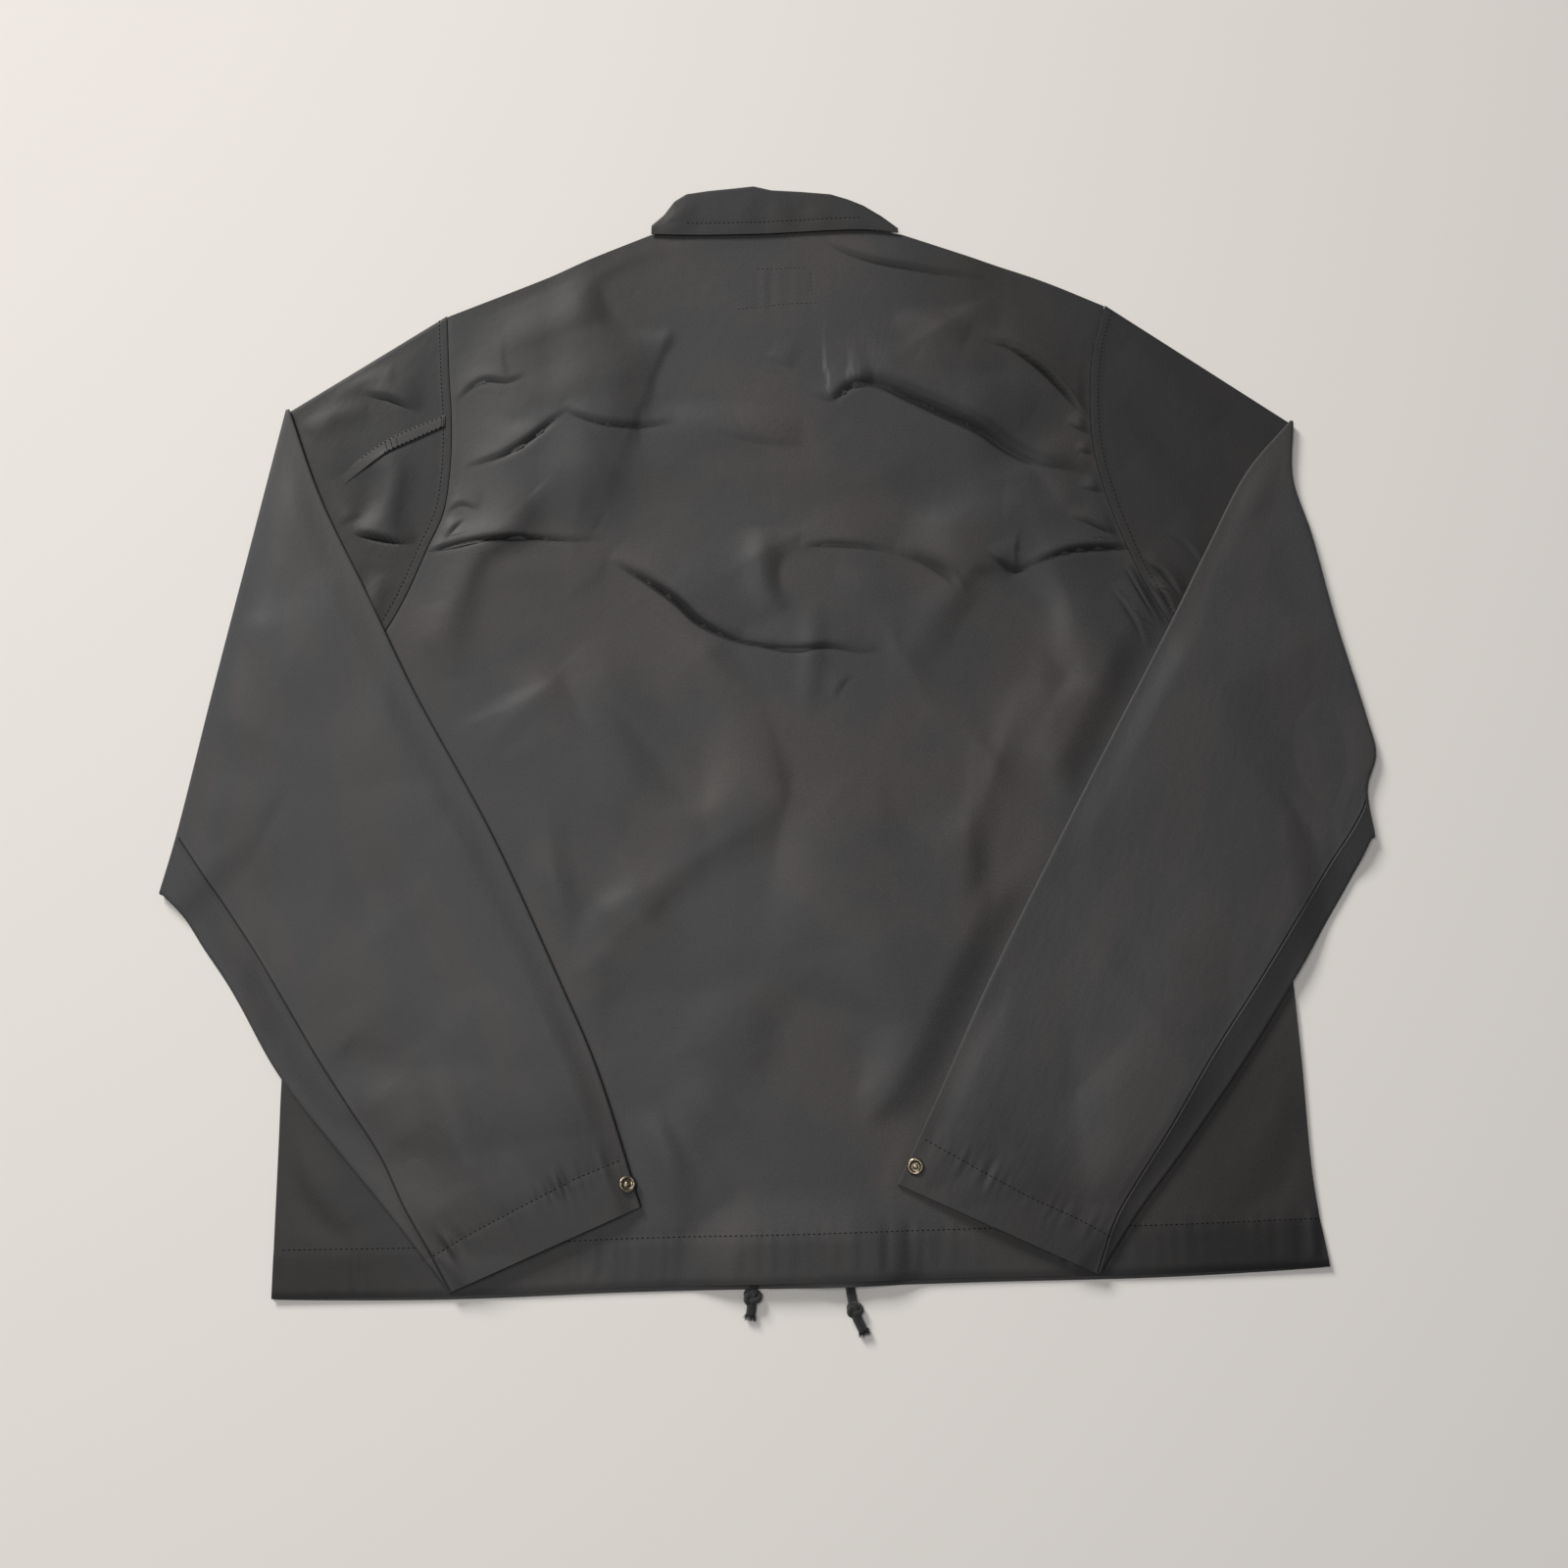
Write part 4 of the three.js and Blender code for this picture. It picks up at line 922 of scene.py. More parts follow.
def sleeve_skin(sleeve, along, across, depth, bulge):
    """The sleeve's points: along from 0 to 1 goes straight from the armhole to the fold line's axis, 1 to 2 is a
    half turn round that axis, and 2 to 3 sweeps the straight section between the inner and outer edges to the
    cuff. Depth is how far in from the sleeve's back skin, and a bulge moves a point out past its edge."""
    side = sleeve["side"]
    armhole = through(sleeve["armhole"][::-1])
    fold = through(sleeve["fold"])
    inner = through(sleeve["inner"])
    outer = through(sleeve["outer"])
    away = aside(unit(fold(1.0) - fold(0.0)), side)
    reach = FOLD_GAP / 2 + TUBE

    def middle(a, w):
        tangent = unit(armhole(np.minimum(w + 0.01, 1)) - armhole(np.maximum(w - 0.01, 0)))
        start = armhole(w) + aside(tangent, side) * (SEAM_GAP + 0.1)
        axis = fold(w) - away * reach
        first = np.clip(a, 0, 1)[..., None]
        s = np.clip(a - 2, 0, 1)
        share = s[..., None]
        section = inner(s) + (outer(s) - inner(s)) * w[..., None]
        chord = fold(0.0) + (fold(1.0) - fold(0.0)) * w[..., None]
        folded = section + (fold(w) - chord) * (1 - share) ** 4 - away * reach * (1 - share) ** 6
        return np.where((a < 2)[..., None], start + (axis - start) * first, folded)

    place = middle(along, across)
    inward = np.where(across > 0.5, -0.02, 0.02)
    place = place + unit(place - middle(along, across + inward)) * bulge[..., None]
    angle = (np.clip(along, 1, 2) - 1.5) * np.pi
    radius = FOLD_GAP / 2 + depth
    turning = (along > 1) & (along < 2)
    place = place + np.where(turning, radius * np.cos(angle), 0)[..., None] * away
    drop = ramp(outside_layers(sleeve, place[..., 0], place[..., 1]), DRAPE_START, DRAPE_END)
    z = np.where(along <= 1, TUBE - depth,
                 np.where(turning, TUBE + FOLD_GAP / 2 + radius * np.sin(angle),
                          (TUBE + FOLD_GAP) * (1 - drop) + depth))
    return np.dstack([place, z])


def sleeve_grid(rows, wall):
    """Along, across, depth and bulge on a grid: round a section from its top edge along the back skin, round
    the underarm edge, back along the front skin and round the top edge. The edges are half circles."""
    turn = np.linspace(0, np.pi, SLEEVE_EDGE + 2)[1:-1]
    inset = wall / 130
    flat = np.linspace(inset, 1 - inset, SLEEVE_ACROSS + 1)
    thick = TUBE - 2 * wall
    across = np.concatenate([flat, np.full(SLEEVE_EDGE, 1 - inset), flat[::-1], np.full(SLEEVE_EDGE, inset)])
    depth = np.concatenate([np.zeros_like(flat), (1 - np.cos(turn)) / 2, np.ones_like(flat),
                            (1 + np.cos(turn)) / 2]) * thick + wall
    level = np.zeros_like(flat)
    bulge = np.concatenate([level, np.sin(turn), level, np.sin(turn)]) * EDGE_ROUND
    shape = (len(rows), len(across))
    along = np.broadcast_to(rows[:, None], shape)
    return [along, *(np.broadcast_to(value, shape) for value in (across, depth, bulge))]


def cuff_run(sleeve, across):
    """The length of a line from the fold line to the cuff: a blend of the two edges' lengths."""
    share = np.linspace(0, 1, 100)
    inner, outer = (np.linalg.norm(np.diff(through(sleeve[edge])(share), axis=0), axis=1).sum()
                    for edge in ("inner", "outer"))
    return inner + (outer - inner) * across


def sleeve_relief(sleeve, points, along, across):
    """What stands up on the two skins that face up: a soft pillow across the tube, the folds and creases, the
    band along the armhole, and the cuff's hem with its puckers."""
    x = points[..., 0]
    y = points[..., 1]
    upper = along < 1
    pillow = np.clip(1 - (2 * across - 1) ** 4, 0, 1)
    top = (0.5 * pillow * ramp(along, 0, 0.3) * (1 - ramp(along, 0.8, 1))
           + fold_height(sleeve["upper_folds"], x, y) + crease_height(sleeve["upper_creases"], x, y))
    top = np.where(top < 0, np.tanh(top), top)
    top = top * ramp(along, 0.0, 0.06) * (1 - ramp(along, 0.9, 1)) * ramp(across, 0, 0.05)
    from_seam = along * 125
    armhole_steps = np.diff(through(sleeve["armhole"])(np.linspace(0, 1, 50)), axis=0)
    armhole_run = across * np.linalg.norm(armhole_steps, axis=1).sum()
    ladder = puckers(armhole_run, sleeve["seed"] + 3, (3.6, 6), 4) * (0.25 + 0.75 * ramp(across, 0.45, 0.6))
    band = (0.1 + 0.1 * ladder) * ramp(from_seam, 0, 1) * (1 - ramp(from_seam, 4.5, 7.5))
    folded = np.clip(along - 2, 0, 1)
    edge = ramp(np.minimum(across, 1 - across), 0, 0.12)
    cuff_width = np.linalg.norm(np.array(sleeve["inner"][-1]) - np.array(sleeve["outer"][-1]))
    past_hem = (1 - folded) * cuff_run(sleeve, across) - np.interp(across, CUFF_PLACES, sleeve["cuff_depth"])
    uneven = 0.5 + 0.5 * puckers(across * cuff_width, sleeve["seed"] + 1, (40, 90), 5)
    gathers = sleeve["pucker"] * uneven * puckers(across * cuff_width, sleeve["seed"], (5, 13))
    gathers = gathers * np.exp(-(past_hem / 8) ** 2)
    hem = 0.15 * (1 - ramp(past_hem, -3, 0.5))
    groove = -0.12 * np.exp(-(past_hem / 1.5) ** 2)
    low = (1.1 * pillow * ramp(folded, 0, 0.1) + fold_height(sleeve["folded_folds"], x, y)
           + facets(x, y, sleeve["seed"] + 2, 60, sleeve["reach"], (22, 70), 0.075)) * edge
    low = np.where(low < 0, np.tanh(low), low) * ramp(folded, 0.0, 0.08) + gathers * edge + hem + groove
    return np.where(upper, top + band, np.where(along >= 2, low, 0))


def sleeve_rows():
    """Places of the sections: dense at the armhole's band, round the turn and at the cuff."""
    return np.concatenate([
        np.linspace(0, 0.07, 10, endpoint=False),
        np.linspace(0.07, 1, 56, endpoint=False),
        np.linspace(1, 2, 12, endpoint=False),
        np.linspace(2, 2.88, 108, endpoint=False),
        np.linspace(2.88, 3, 40),
    ])


def sleeve_piece(name, sleeve, finish):
    rows = sleeve_rows()
    grid = sleeve_grid(rows, 0)
    outer = sleeve_skin(sleeve, *grid)
    along, across, depth, bulge = grid
    faces_up = np.where(along < 1.5, 1 - depth / TUBE, depth / TUBE) ** 2
    outer[..., 2] += sleeve_relief(sleeve, outer, along, across) * faces_up
    thin = sleeve_grid(rows[::PANEL_STEP], CLOTH)
    inner = sleeve_skin(sleeve, *[value[:, ::PANEL_STEP] for value in thin])
    seam, _ = signed_distance(through(sleeve["seam"]), outer[..., 0], outer[..., 1])
    seam = np.where((along >= 2) & (depth > TUBE / 2), seam, FAR_FROM_SEAM)
    marks = crease_marks(sleeve["upper_creases"], outer[..., 0], outer[..., 1])
    marks["crisp"] = marks["crisp"] * (along < 1) * (depth < TUBE / 2)
    past_seam = ramp(seam * sleeve["side"], -1, 2) * (seam < FAR_FROM_SEAM) * (along >= 2)
    # Painted shade in the colour: the upper sleeve up to the fold, a band at the cuff, and the strip past the
    # seam
    marks["deeper"] = (sleeve["painted_shade_top"] * (1 - ramp(along, 1.3, 1.8)) + 0.34 * ramp(along, 2.8, 2.95)
                       + sleeve["painted_shade_strip"] * past_seam)
    run = run_along(outer[:, SLEEVE_ACROSS // 2])
    round_it = run_along(outer[CUT_ROW])
    uv = np.dstack(np.meshgrid(round_it, run))
    upper_skin = outer[rows <= 1, :SLEEVE_ACROSS + 1]
    front = SLEEVE_ACROSS + 1 + SLEEVE_EDGE
    folded_skin = outer[rows >= 2, front:front + SLEEVE_ACROSS + 1]
    if sleeve["side"] < 0:
        outer, inner, uv, seam = outer[::-1], inner[::-1], uv[::-1], seam[::-1]
        marks = {key: value[::-1] for key, value in marks.items()}
    piece = cloth_piece(name, outer, inner, uv, round_way=True, seam=seam, **marks)
    piece.data.materials.append(finish)
    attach(piece, "root")
    return piece, upper_skin, folded_skin


# A slightly lighter, cooler copy of the body's taffeta: painted light on the sleeves
sleeve_lit_taffeta = taffeta("sleeve_taffeta_painted_light", (0.042, 0.0428, 0.046), (0.049, 0.0462, 0.0462), seam=True)
sleeve_left, left_upper, left_folded = sleeve_piece("sleeve_left_cloth", LEFT_SLEEVE, sleeve_lit_taffeta)
sleeve_right, right_upper, right_folded = sleeve_piece("sleeve_right_cloth", RIGHT_SLEEVE, sleeve_lit_taffeta)
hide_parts("sleeve_left")
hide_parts("sleeve_right")

# Armhole stitching
# A row of black thread that holds each armhole's seam allowance flat, sewn through the sleeve a few millimetres
# outside the seam. Each stitch is a short round thread that sinks into the cloth at both ends.
STITCH_PITCH = 3.0
STITCH_LENGTH = 2.1
THREAD_RADIUS = 0.3
ARMHOLE_TOPSTITCH = 5.5


def height_on(skin, places):
    """The height of a skin at places in plan: the mean of its four nearest points, each weighted by one over
    its squared distance."""
    points = skin[near_line(places, 8, skin[..., 0], skin[..., 1])]
    away = ((points[None, :, :2] - places[:, None]) ** 2).sum(-1)
    four = np.argpartition(away, 4, axis=1)[:, :4]
    weight = 1 / (np.take_along_axis(away, four, 1) + 1e-3)
    return (points[four][..., 2] * weight).sum(1) / weight.sum(1)


def stitches_along(line, skin, pitch=STITCH_PITCH, length=STITCH_LENGTH):
    """The two ends of every stitch on a line in plan, laid on a skin."""
    points = line(np.linspace(0, 1, 300))
    total = np.linalg.norm(np.diff(points, axis=0), axis=1).sum()
    middle = (np.arange(int(total / pitch)) + 0.5) * pitch
    ends = []
    for shift in (-length / 2, length / 2):
        place = line((middle + shift) / total)
        ends.append(np.column_stack([place, height_on(skin, place)]))
    return np.stack(ends, 1)


def sewn_piece(name, ends, radius=THREAD_RADIUS):
    """All stitches of some rows as one mesh: round the axis of each, five rings of five points that are
    thinner and deeper toward its ends."""
    axis = ends[:, 1] - ends[:, 0]
    along = unit(axis)
    square = unit(np.cross([0.0, 0.0, 1.0], along))
    up = np.cross(along, square)
    places = np.array([0, 0.15, 0.5, 0.85, 1])
    thick = np.array([0.35, 0.85, 1, 0.85, 0.35]) * radius
    sink = np.array([-1.2, -0.3, 0.1, -0.3, -1.2]) * radius
    center = ends[:, None, 0] + axis[:, None] * places[:, None] + up[:, None] * sink[:, None]
    angle = np.linspace(0, 2 * np.pi, 5, endpoint=False)
    spoke = (square[:, None, None] * np.cos(angle)[:, None] + up[:, None, None] * np.sin(angle)[:, None])
    points = center[:, :, None] + spoke * thick[:, None, None]
    count = len(ends)
    number = np.arange(count * 25).reshape(count, 5, 5)
    after = np.roll(number, -1, axis=2)
    sides = np.stack([number[:, :-1], after[:, :-1], after[:, 1:], number[:, 1:]], -1).reshape(-1, 4)
    caps = np.concatenate([number[:, 0, ::-1], number[:, -1]])
    mesh = bpy.data.meshes.new(name)
    mesh.from_pydata((points.reshape(-1, 3) * MM).tolist(), [], sides.tolist() + caps.tolist())
    mesh.shade_smooth()
    mesh.materials.append(thread)
    piece = bpy.data.objects.new(name, mesh)
    scene.collection.objects.link(piece)
    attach(piece, "root")
    return piece


def beside(points, side, distance):
    """A smooth line beside another, at a distance to the left (-1) or the right (1)."""
    line = through(points)
    share = np.linspace(0, 1, 60)
    place = line(share)
    return through(place + aside(unit(np.gradient(place, axis=0)), side) * distance)


twist = Finish("black_thread_and_hole_shade", Specular_IOR_Level=0.15)
twist_place = twist.node("ShaderNodeTexCoord", {}).outputs["Object"]
fuzz = twist.noise(twist_place, 2400, 2)
# The thread's own black, made darker than the cloth so that it also paints the shade of the needle holes
thread_black_and_hole_shade = twist.mix(fuzz, (0.003, 0.003, 0.0035, 1), (0.008, 0.008, 0.009, 1))
thread = twist.ends(thread_black_and_hole_shade, 0.6 + fuzz * 0.2, fuzz * 0.05)
for name, armhole, side, skin in (("left", LEFT_ARMHOLE, -1, left_upper),
                                  ("right", RIGHT_ARMHOLE, 1, right_upper)):
    ends = stitches_along(beside(armhole[2:], side, ARMHOLE_TOPSTITCH), skin)
    sewn_piece("armhole_stitches_" + name, ends)

# Sleeve welt
# A narrow folded strip of the sleeve's cloth on the left upper sleeve. It is sewn down along its upper edge,
# open along its lower one, and tacked at the armhole and in its middle.
WELT_UPPER = [(-212, 190.5), (-232, 181.5), (-250, 172), (-265, 160), (-277, 147.5)]
WELT_LOWER = [(-212, 182.5), (-230, 173.5), (-248, 164), (-262, 153), (-274, 142.5)]
WELT_STEPS = (72, 18)
WELT_RISE = 0.9
WELT_TACKS = (0.01, 0.03, 0.44, 0.49, 0.54)

welt_upper = through(WELT_UPPER)
welt_lower = through(WELT_LOWER)
along, across = np.meshgrid(np.linspace(0, 1, WELT_STEPS[0] + 1), np.linspace(0, 1, WELT_STEPS[1] + 1))
welt_plan = welt_lower(along) * (1 - across)[..., None] + welt_upper(along) * across[..., None]
welt_ground = height_on(left_upper, welt_plan.reshape(-1, 2)).reshape(along.shape)
welt_puff = WELT_RISE * (0.35 + 0.65 * (1 - across) ** 0.6) * (1 - 0.8 * ramp(along, 0.7, 1))
welt_skin = np.dstack([welt_plan, welt_ground + welt_puff])
welt_under = np.dstack([welt_plan, welt_ground + 0.02])[::PANEL_STEP, ::PANEL_STEP]
# Painted shade darkens the whole welt's colour
welt = cloth_piece("sleeve_welt_cloth", welt_skin[:, ::-1], welt_under[:, ::-1], welt_plan[:, ::-1],
                   deeper=np.full(along.shape, 0.5), seam=np.full(along.shape, 9.0))
welt.data.materials.append(sleeve_lit_taffeta)
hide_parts("sleeve_welt")
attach(welt, "root")


def welt_line(share_across, start, end):
    """A line along the welt at a share of its width."""
    share = start + (end - start) * np.linspace(0, 1, 30)
    return through(welt_lower(share) * (1 - share_across) + welt_upper(share) * share_across)


def tack(share, width):
    """A bar across the welt at a share of its length."""
    low = welt_lower(np.array(share))
    return straight(low, low * (1 - width) + welt_upper(np.array(share)) * width)


welt_ends = [stitches_along(welt_line(0.93, 0.02, 0.8), welt_skin),
             stitches_along(welt_line(0.06, 0.02, 0.6), welt_skin)]
welt_ends += [stitches_along(tack(share, 1), welt_skin, 1.2, 1.15) for share in WELT_TACKS]
welt_stitches = sewn_piece("welt_stitches", np.concatenate(welt_ends))

# Cuff stitching
# The cuffs' hems are turned in twice and sewn down all round with one row of black thread.


def cuff_line(sleeve):
    """The row's line on the cuff's upper side, as far from the cuff's edge as the hem is deep there."""
    across = np.linspace(0.02, 0.98, 60)
    along = 3 - np.interp(across, CUFF_PLACES, sleeve["cuff_depth"]) / cuff_run(sleeve, across)
    grid = [value[None] for value in (along, across, np.full_like(across, TUBE), np.zeros_like(across))]
    return through(sleeve_skin(sleeve, *grid)[0, :, :2])


cuff_stitches = [
    sewn_piece("cuff_stitches_left", stitches_along(cuff_line(LEFT_SLEEVE), left_folded)),
    sewn_piece("cuff_stitches_right", stitches_along(cuff_line(RIGHT_SLEEVE), right_folded)),
]

# Snaps
# Each cuff has one half of a ring snap, a rolled ring of antique brass round a socket with a spring. The front
# closes with five snaps whose plain domed caps face the floor.
SNAP_PROFILE = [(0, 0), (4.8, 0), (5.0, 0.2), (5.0, 0.6), (4.8, 1.0), (4.35, 1.3), (3.8, 1.4), (3.3, 1.3),
                (2.95, 1.0), (2.8, 0.6), (2.6, 0.42), (1.7, 0.36), (1.45, 0.5), (1.25, 0.72), (0.9, 0.8),
                (0, 0.82)]
CAP_PROFILE = [(0, 0), (4.6, 0.02), (5.6, 0.08), (6.6, 0.25), (7.2, 0.5), (7.4, 0.72), (7.2, 0.9), (6.6, 1),
               (0, 1)]
CUFF_SNAPS = [("cuff_snap_left", (-82, -295), (-9, 14)), ("cuff_snap_right", (85, -285), (5, -7))]
FRONT_SNAPS = 5
FRONT_SNAP_FIRST_Y = -300
FRONT_SNAP_STEP = 130
SNAP_BASE = 2 * TUBE + FOLD_GAP + SEAM_GAP


def turned_piece(name, profile, place, tilt, finish):
    """A profile of radius and height turned round an upright axis, closed by a point at either end, then
    tilted about its middle by two angles in degrees, about X and about Y."""
    rings = np.array(profile[1:-1], float)
    sides = 48
    angle = np.linspace(0, 2 * np.pi, sides, endpoint=False)
    body = np.stack([rings[:, :1] * np.cos(angle), rings[:, :1] * np.sin(angle),
                     np.repeat(rings[:, 1:], sides, axis=1)], -1)
    points = np.vstack([body.reshape(-1, 3), (0, 0, profile[0][1]), (0, 0, profile[-1][1])])
    about_x, about_y = np.radians(tilt)
    turn_x = np.array([[1, 0, 0],
                       [0, np.cos(about_x), -np.sin(about_x)],
                       [0, np.sin(about_x), np.cos(about_x)]])
    turn_y = np.array([[np.cos(about_y), 0, np.sin(about_y)],
                       [0, 1, 0],
                       [-np.sin(about_y), 0, np.cos(about_y)]])
    points = points @ turn_x.T @ turn_y.T + place
    number = np.arange(len(rings) * sides).reshape(len(rings), sides)
    after = np.roll(number, -1, axis=1)
    walls = np.stack([number[:-1], after[:-1], after[1:], number[1:]], -1).reshape(-1, 4)
    low = len(points) - 2
    foot = np.stack([after[0], number[0], np.full(sides, low)], -1)
    head = np.stack([number[-1], after[-1], np.full(sides, low + 1)], -1)
    mesh = bpy.data.meshes.new(name)
    mesh.from_pydata((points * MM).tolist(), [], walls.tolist() + foot.tolist() + head.tolist())
    mesh.shade_smooth()
    mesh.set_sharp_from_angle(angle=math.radians(50))
    mesh.materials.append(finish)
    piece = bpy.data.objects.new(name, mesh)
    scene.collection.objects.link(piece)
    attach(piece, "root")
    return piece


brass = Finish("antique_brass", Metallic=1.0)
brass_place = brass.node("ShaderNodeTexCoord", {}).outputs["Object"]
tarnish = brass.noise(brass_place, 700, 4, 0.6)
scuff = brass.noise(brass_place, 3000, 2)
brass_color = brass.mix(tarnish.above(0.4, 0.62), (0.36, 0.305, 0.22, 1), (0.10, 0.085, 0.065, 1))
snap_metal = brass.ends(brass_color, 0.24 + tarnish * 0.22, scuff * 0.015)
for node, (x, y), tilt in CUFF_SNAPS:
    snap = turned_piece(node + "_ring", SNAP_PROFILE, (x, y, SNAP_BASE + 0.5), tilt, snap_metal)
    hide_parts(node)
for i in range(FRONT_SNAPS):
    y = FRONT_SNAP_FIRST_Y + i * FRONT_SNAP_STEP
    x = float(center_front(y))
    base = float(leaf_rise(x, y, 0))
    cap = turned_piece(f"front_snap_cap_{i + 1}", CAP_PROFILE, (x, y, base), (0, 0), snap_metal)
    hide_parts(f"front_snap_{i + 1}")

# Collar leaves
# The collar's two points, each two layers of taffeta sewn and turned out. They lie on the floor under the
# fronts.
LEAF_INNER = [(-72, 318), (-66, 290), (-50, 268), (-26, 253), (1, 246)]
LEAF_OUTER = [(-88, 311), (-99, 268), (-92, 224), (-70, 194), (-38, 176)]
LEAF_MIRROR = 2 * NECK_MIDDLE_X + 0.6
LEAF_STEPS = (60, 18)

# A darker copy of the body's taffeta: painted shade on the collar and its leaves
collar_shaded_taffeta = taffeta("collar_taffeta_painted_shade", (0.0245, 0.025, 0.027), (0.029, 0.027, 0.0258))
for name, side in (("collar_leaf_left", -1), ("collar_leaf_right", 1)):
    inner_line = through([(x if side < 0 else LEAF_MIRROR - x, y) for x, y in LEAF_INNER])
    outer_line = through([(x if side < 0 else LEAF_MIRROR - x, y) for x, y in LEAF_OUTER])
    along, across = np.meshgrid(np.linspace(0, 1, LEAF_STEPS[0] + 1), np.linspace(0, 1, LEAF_STEPS[1] + 1))
    share = (across if side < 0 else 1 - across)[..., None]
    plan = outer_line(along) * (1 - share) + inner_line(along) * share
    rounded = np.clip(1 - (2 * across - 1) ** 8, 0, 1) * 0.25
    skin = np.dstack([plan, 0.7 + rounded])
    under = np.dstack([plan, np.full(along.shape, 0.05)])[::PANEL_STEP, ::PANEL_STEP]
    leaf = cloth_piece(name + "_cloth", skin, under, plan)
    leaf.data.materials.append(collar_shaded_taffeta)
    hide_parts(name)
    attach(leaf, "root")

# Collar
# The collar at the back neck: two layers of taffeta that stand up from the neck seam, turn over at the top and
# fall back over the seam, here some 1.5 mm clear of the back. One row of topstitching runs along its edge.
COLLAR_X = (-80, -72, -65, -57, -42, -24, -12, 0, 20, 40, 52, 62, 74, 85)
COLLAR_TOP = (327.5, 335, 345.5, 351, 353.5, 355.5, 357, 354, 352.8, 351, 347, 342.5, 334.5, 325.5)
COLLAR_LOWER = (320.5, 320.3, 320, 320, 320, 320.3, 320.6, 321, 322.3, 323.5, 324, 324, 323.3, 321.6)
COLLAR_TURN = 0.9
COLLAR_LOW = BACK_REST + LAYER + WALL / 2
COLLAR_TOPSTITCH = 8.5
COLLAR_COLUMNS = 150
FALL_ROWS = 30


def collar_skin(x, path, out):
    """Points of the collar at x for shares of its path: up the stand, half round the turn and down the fall. Out
    is how far the skin lies outside the middle of the cloth."""
    top = np.interp(x, COLLAR_X, COLLAR_TOP)
    lower = np.interp(x, COLLAR_X, COLLAR_LOWER)
    seam = neck_y(x) + 2 * SEAM_GAP
    turn_y = top - WALL / 2 - COLLAR_TURN
    up = np.clip(path, 0, 1)
    angle = (np.clip(path - 1, 0, 1) - 0.5) * np.pi
    down = np.clip(path - 2, 0, 1)
    radius = COLLAR_TURN + out
    y = np.where(path < 1, seam + (turn_y - seam) * up,
                 np.where(path < 2, turn_y + radius * np.cos(angle), turn_y + (lower - turn_y) * down))
    middle = COLLAR_LOW + COLLAR_TURN
    wave = 0.25 * puckers(x, 41, (24, 60), 5) * ramp(down, 0.1, 0.5) * (1 - 0.6 * ramp(down, 0.8, 1))
    puff = 0.5 * np.sin(np.pi * down) ** 0.8
    away = turn_y + (lower - turn_y) * down - lower
    groove = -0.08 * np.exp(-((away - COLLAR_TOPSTITCH) / 1.1) ** 2) * (down > 0)
    return np.stack([x, y, middle + radius * np.sin(angle) + (wave + puff + groove) * (out > 0)], -1)


collar_path = np.concatenate([[0, 0.3, 0.7], np.linspace(1, 2, 10), 2 + np.linspace(0, 1, FALL_ROWS)[1:]])
path, x = np.meshgrid(collar_path, np.linspace(COLLAR_X[0], COLLAR_X[-1], COLLAR_COLUMNS + 1), indexing="ij")
collar_rows = PANEL_STEP * ((len(path) - 1) // PANEL_STEP) + 1
path, x = path[-collar_rows:], x[-collar_rows:]
collar_outer = collar_skin(x, path, WALL / 2)
collar_inner = collar_skin(x, path, WALL / 2 - CLOTH)[::PANEL_STEP, ::PANEL_STEP]
collar_cut = np.dstack([x, path * 30])
collar = cloth_piece("collar_cloth", collar_outer[:, ::-1], collar_inner[:, ::-1], collar_cut[:, ::-1])
collar.data.materials.append(collar_shaded_taffeta)
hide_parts("collar")
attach(collar, "root")
fall_skin = collar_outer[path[:, 0] >= 2]
fall_x = np.linspace(COLLAR_X[3], COLLAR_X[-3], 30)
fall_line = through(np.column_stack([fall_x, np.interp(fall_x, COLLAR_X, COLLAR_LOWER) + COLLAR_TOPSTITCH]))
collar_stitches = sewn_piece("collar_stitches", stitches_along(fall_line, fall_skin))

# Label stitches
# What shows of a label inside the back neck: the stitches that hold it, two faint rows and a short side.
LABEL_ROWS = [
    [(-10, 296), (3, 296), (21, 297), (24, 297)],
    [(-23, 266), (-6, 268), (9, 270), (31, 271)],
    [(26, 294), (27, 284), (28, 274)],
]
label_ends = np.concatenate([stitches_along(through(row), back_skin) for row in LABEL_ROWS])
label_stitches = sewn_piece("label_stitches", label_ends, 0.16)

# Hem stitching
# One row of black thread that closes the hem's casing all along the back.
hem_share_steps = np.linspace(0.006, 0.994, 80)
hem_ends = stitches_along(through(back_hem(hem_share_steps) + (0, HEM_DEPTH)), back_skin)
hem_stitches = sewn_piece("hem_stitches", hem_ends)

# Drawcords
# The two free ends of the flat braided cord that runs in the hem. Each comes out of the casing's underside, has
# an overhand knot that keeps it from slipping back, and ends in a short frayed tail.
CORD_WIDE = 2.66
CORD_HIGH = 1.9
CORD_RINGS = 60
CORD_SIDES = 16
CORDS = [
    {"name": "drawcord_left", "knot": 5, "knot_size": 1.16, "seed": 51,
     "path": [(-1.9, -338, 3.0), (-5.4, -340.5, 3.0), (-8, -346, 3.1), (-9.2, -351, 3.3), (-9.5, -354.5, 3.4),
              (-9.6, -357.5, 3.3), (-9.8, -360.5, 2.9), (-10, -363.5, 2.4), (-10.5, -367.5, 2.1)]},
    {"name": "drawcord_right", "knot": 5, "knot_size": 1.02, "seed": 52,
     "path": [(38.7, -341, 2.1), (43, -343, 2.1), (46, -348.5, 2.1), (47, -355, 2.1), (48, -360.5, 2.4),
              (49, -364.5, 3.0), (50.2, -368.5, 2.8), (51.8, -372, 2.3), (54, -376.5, 2.1)]},
]


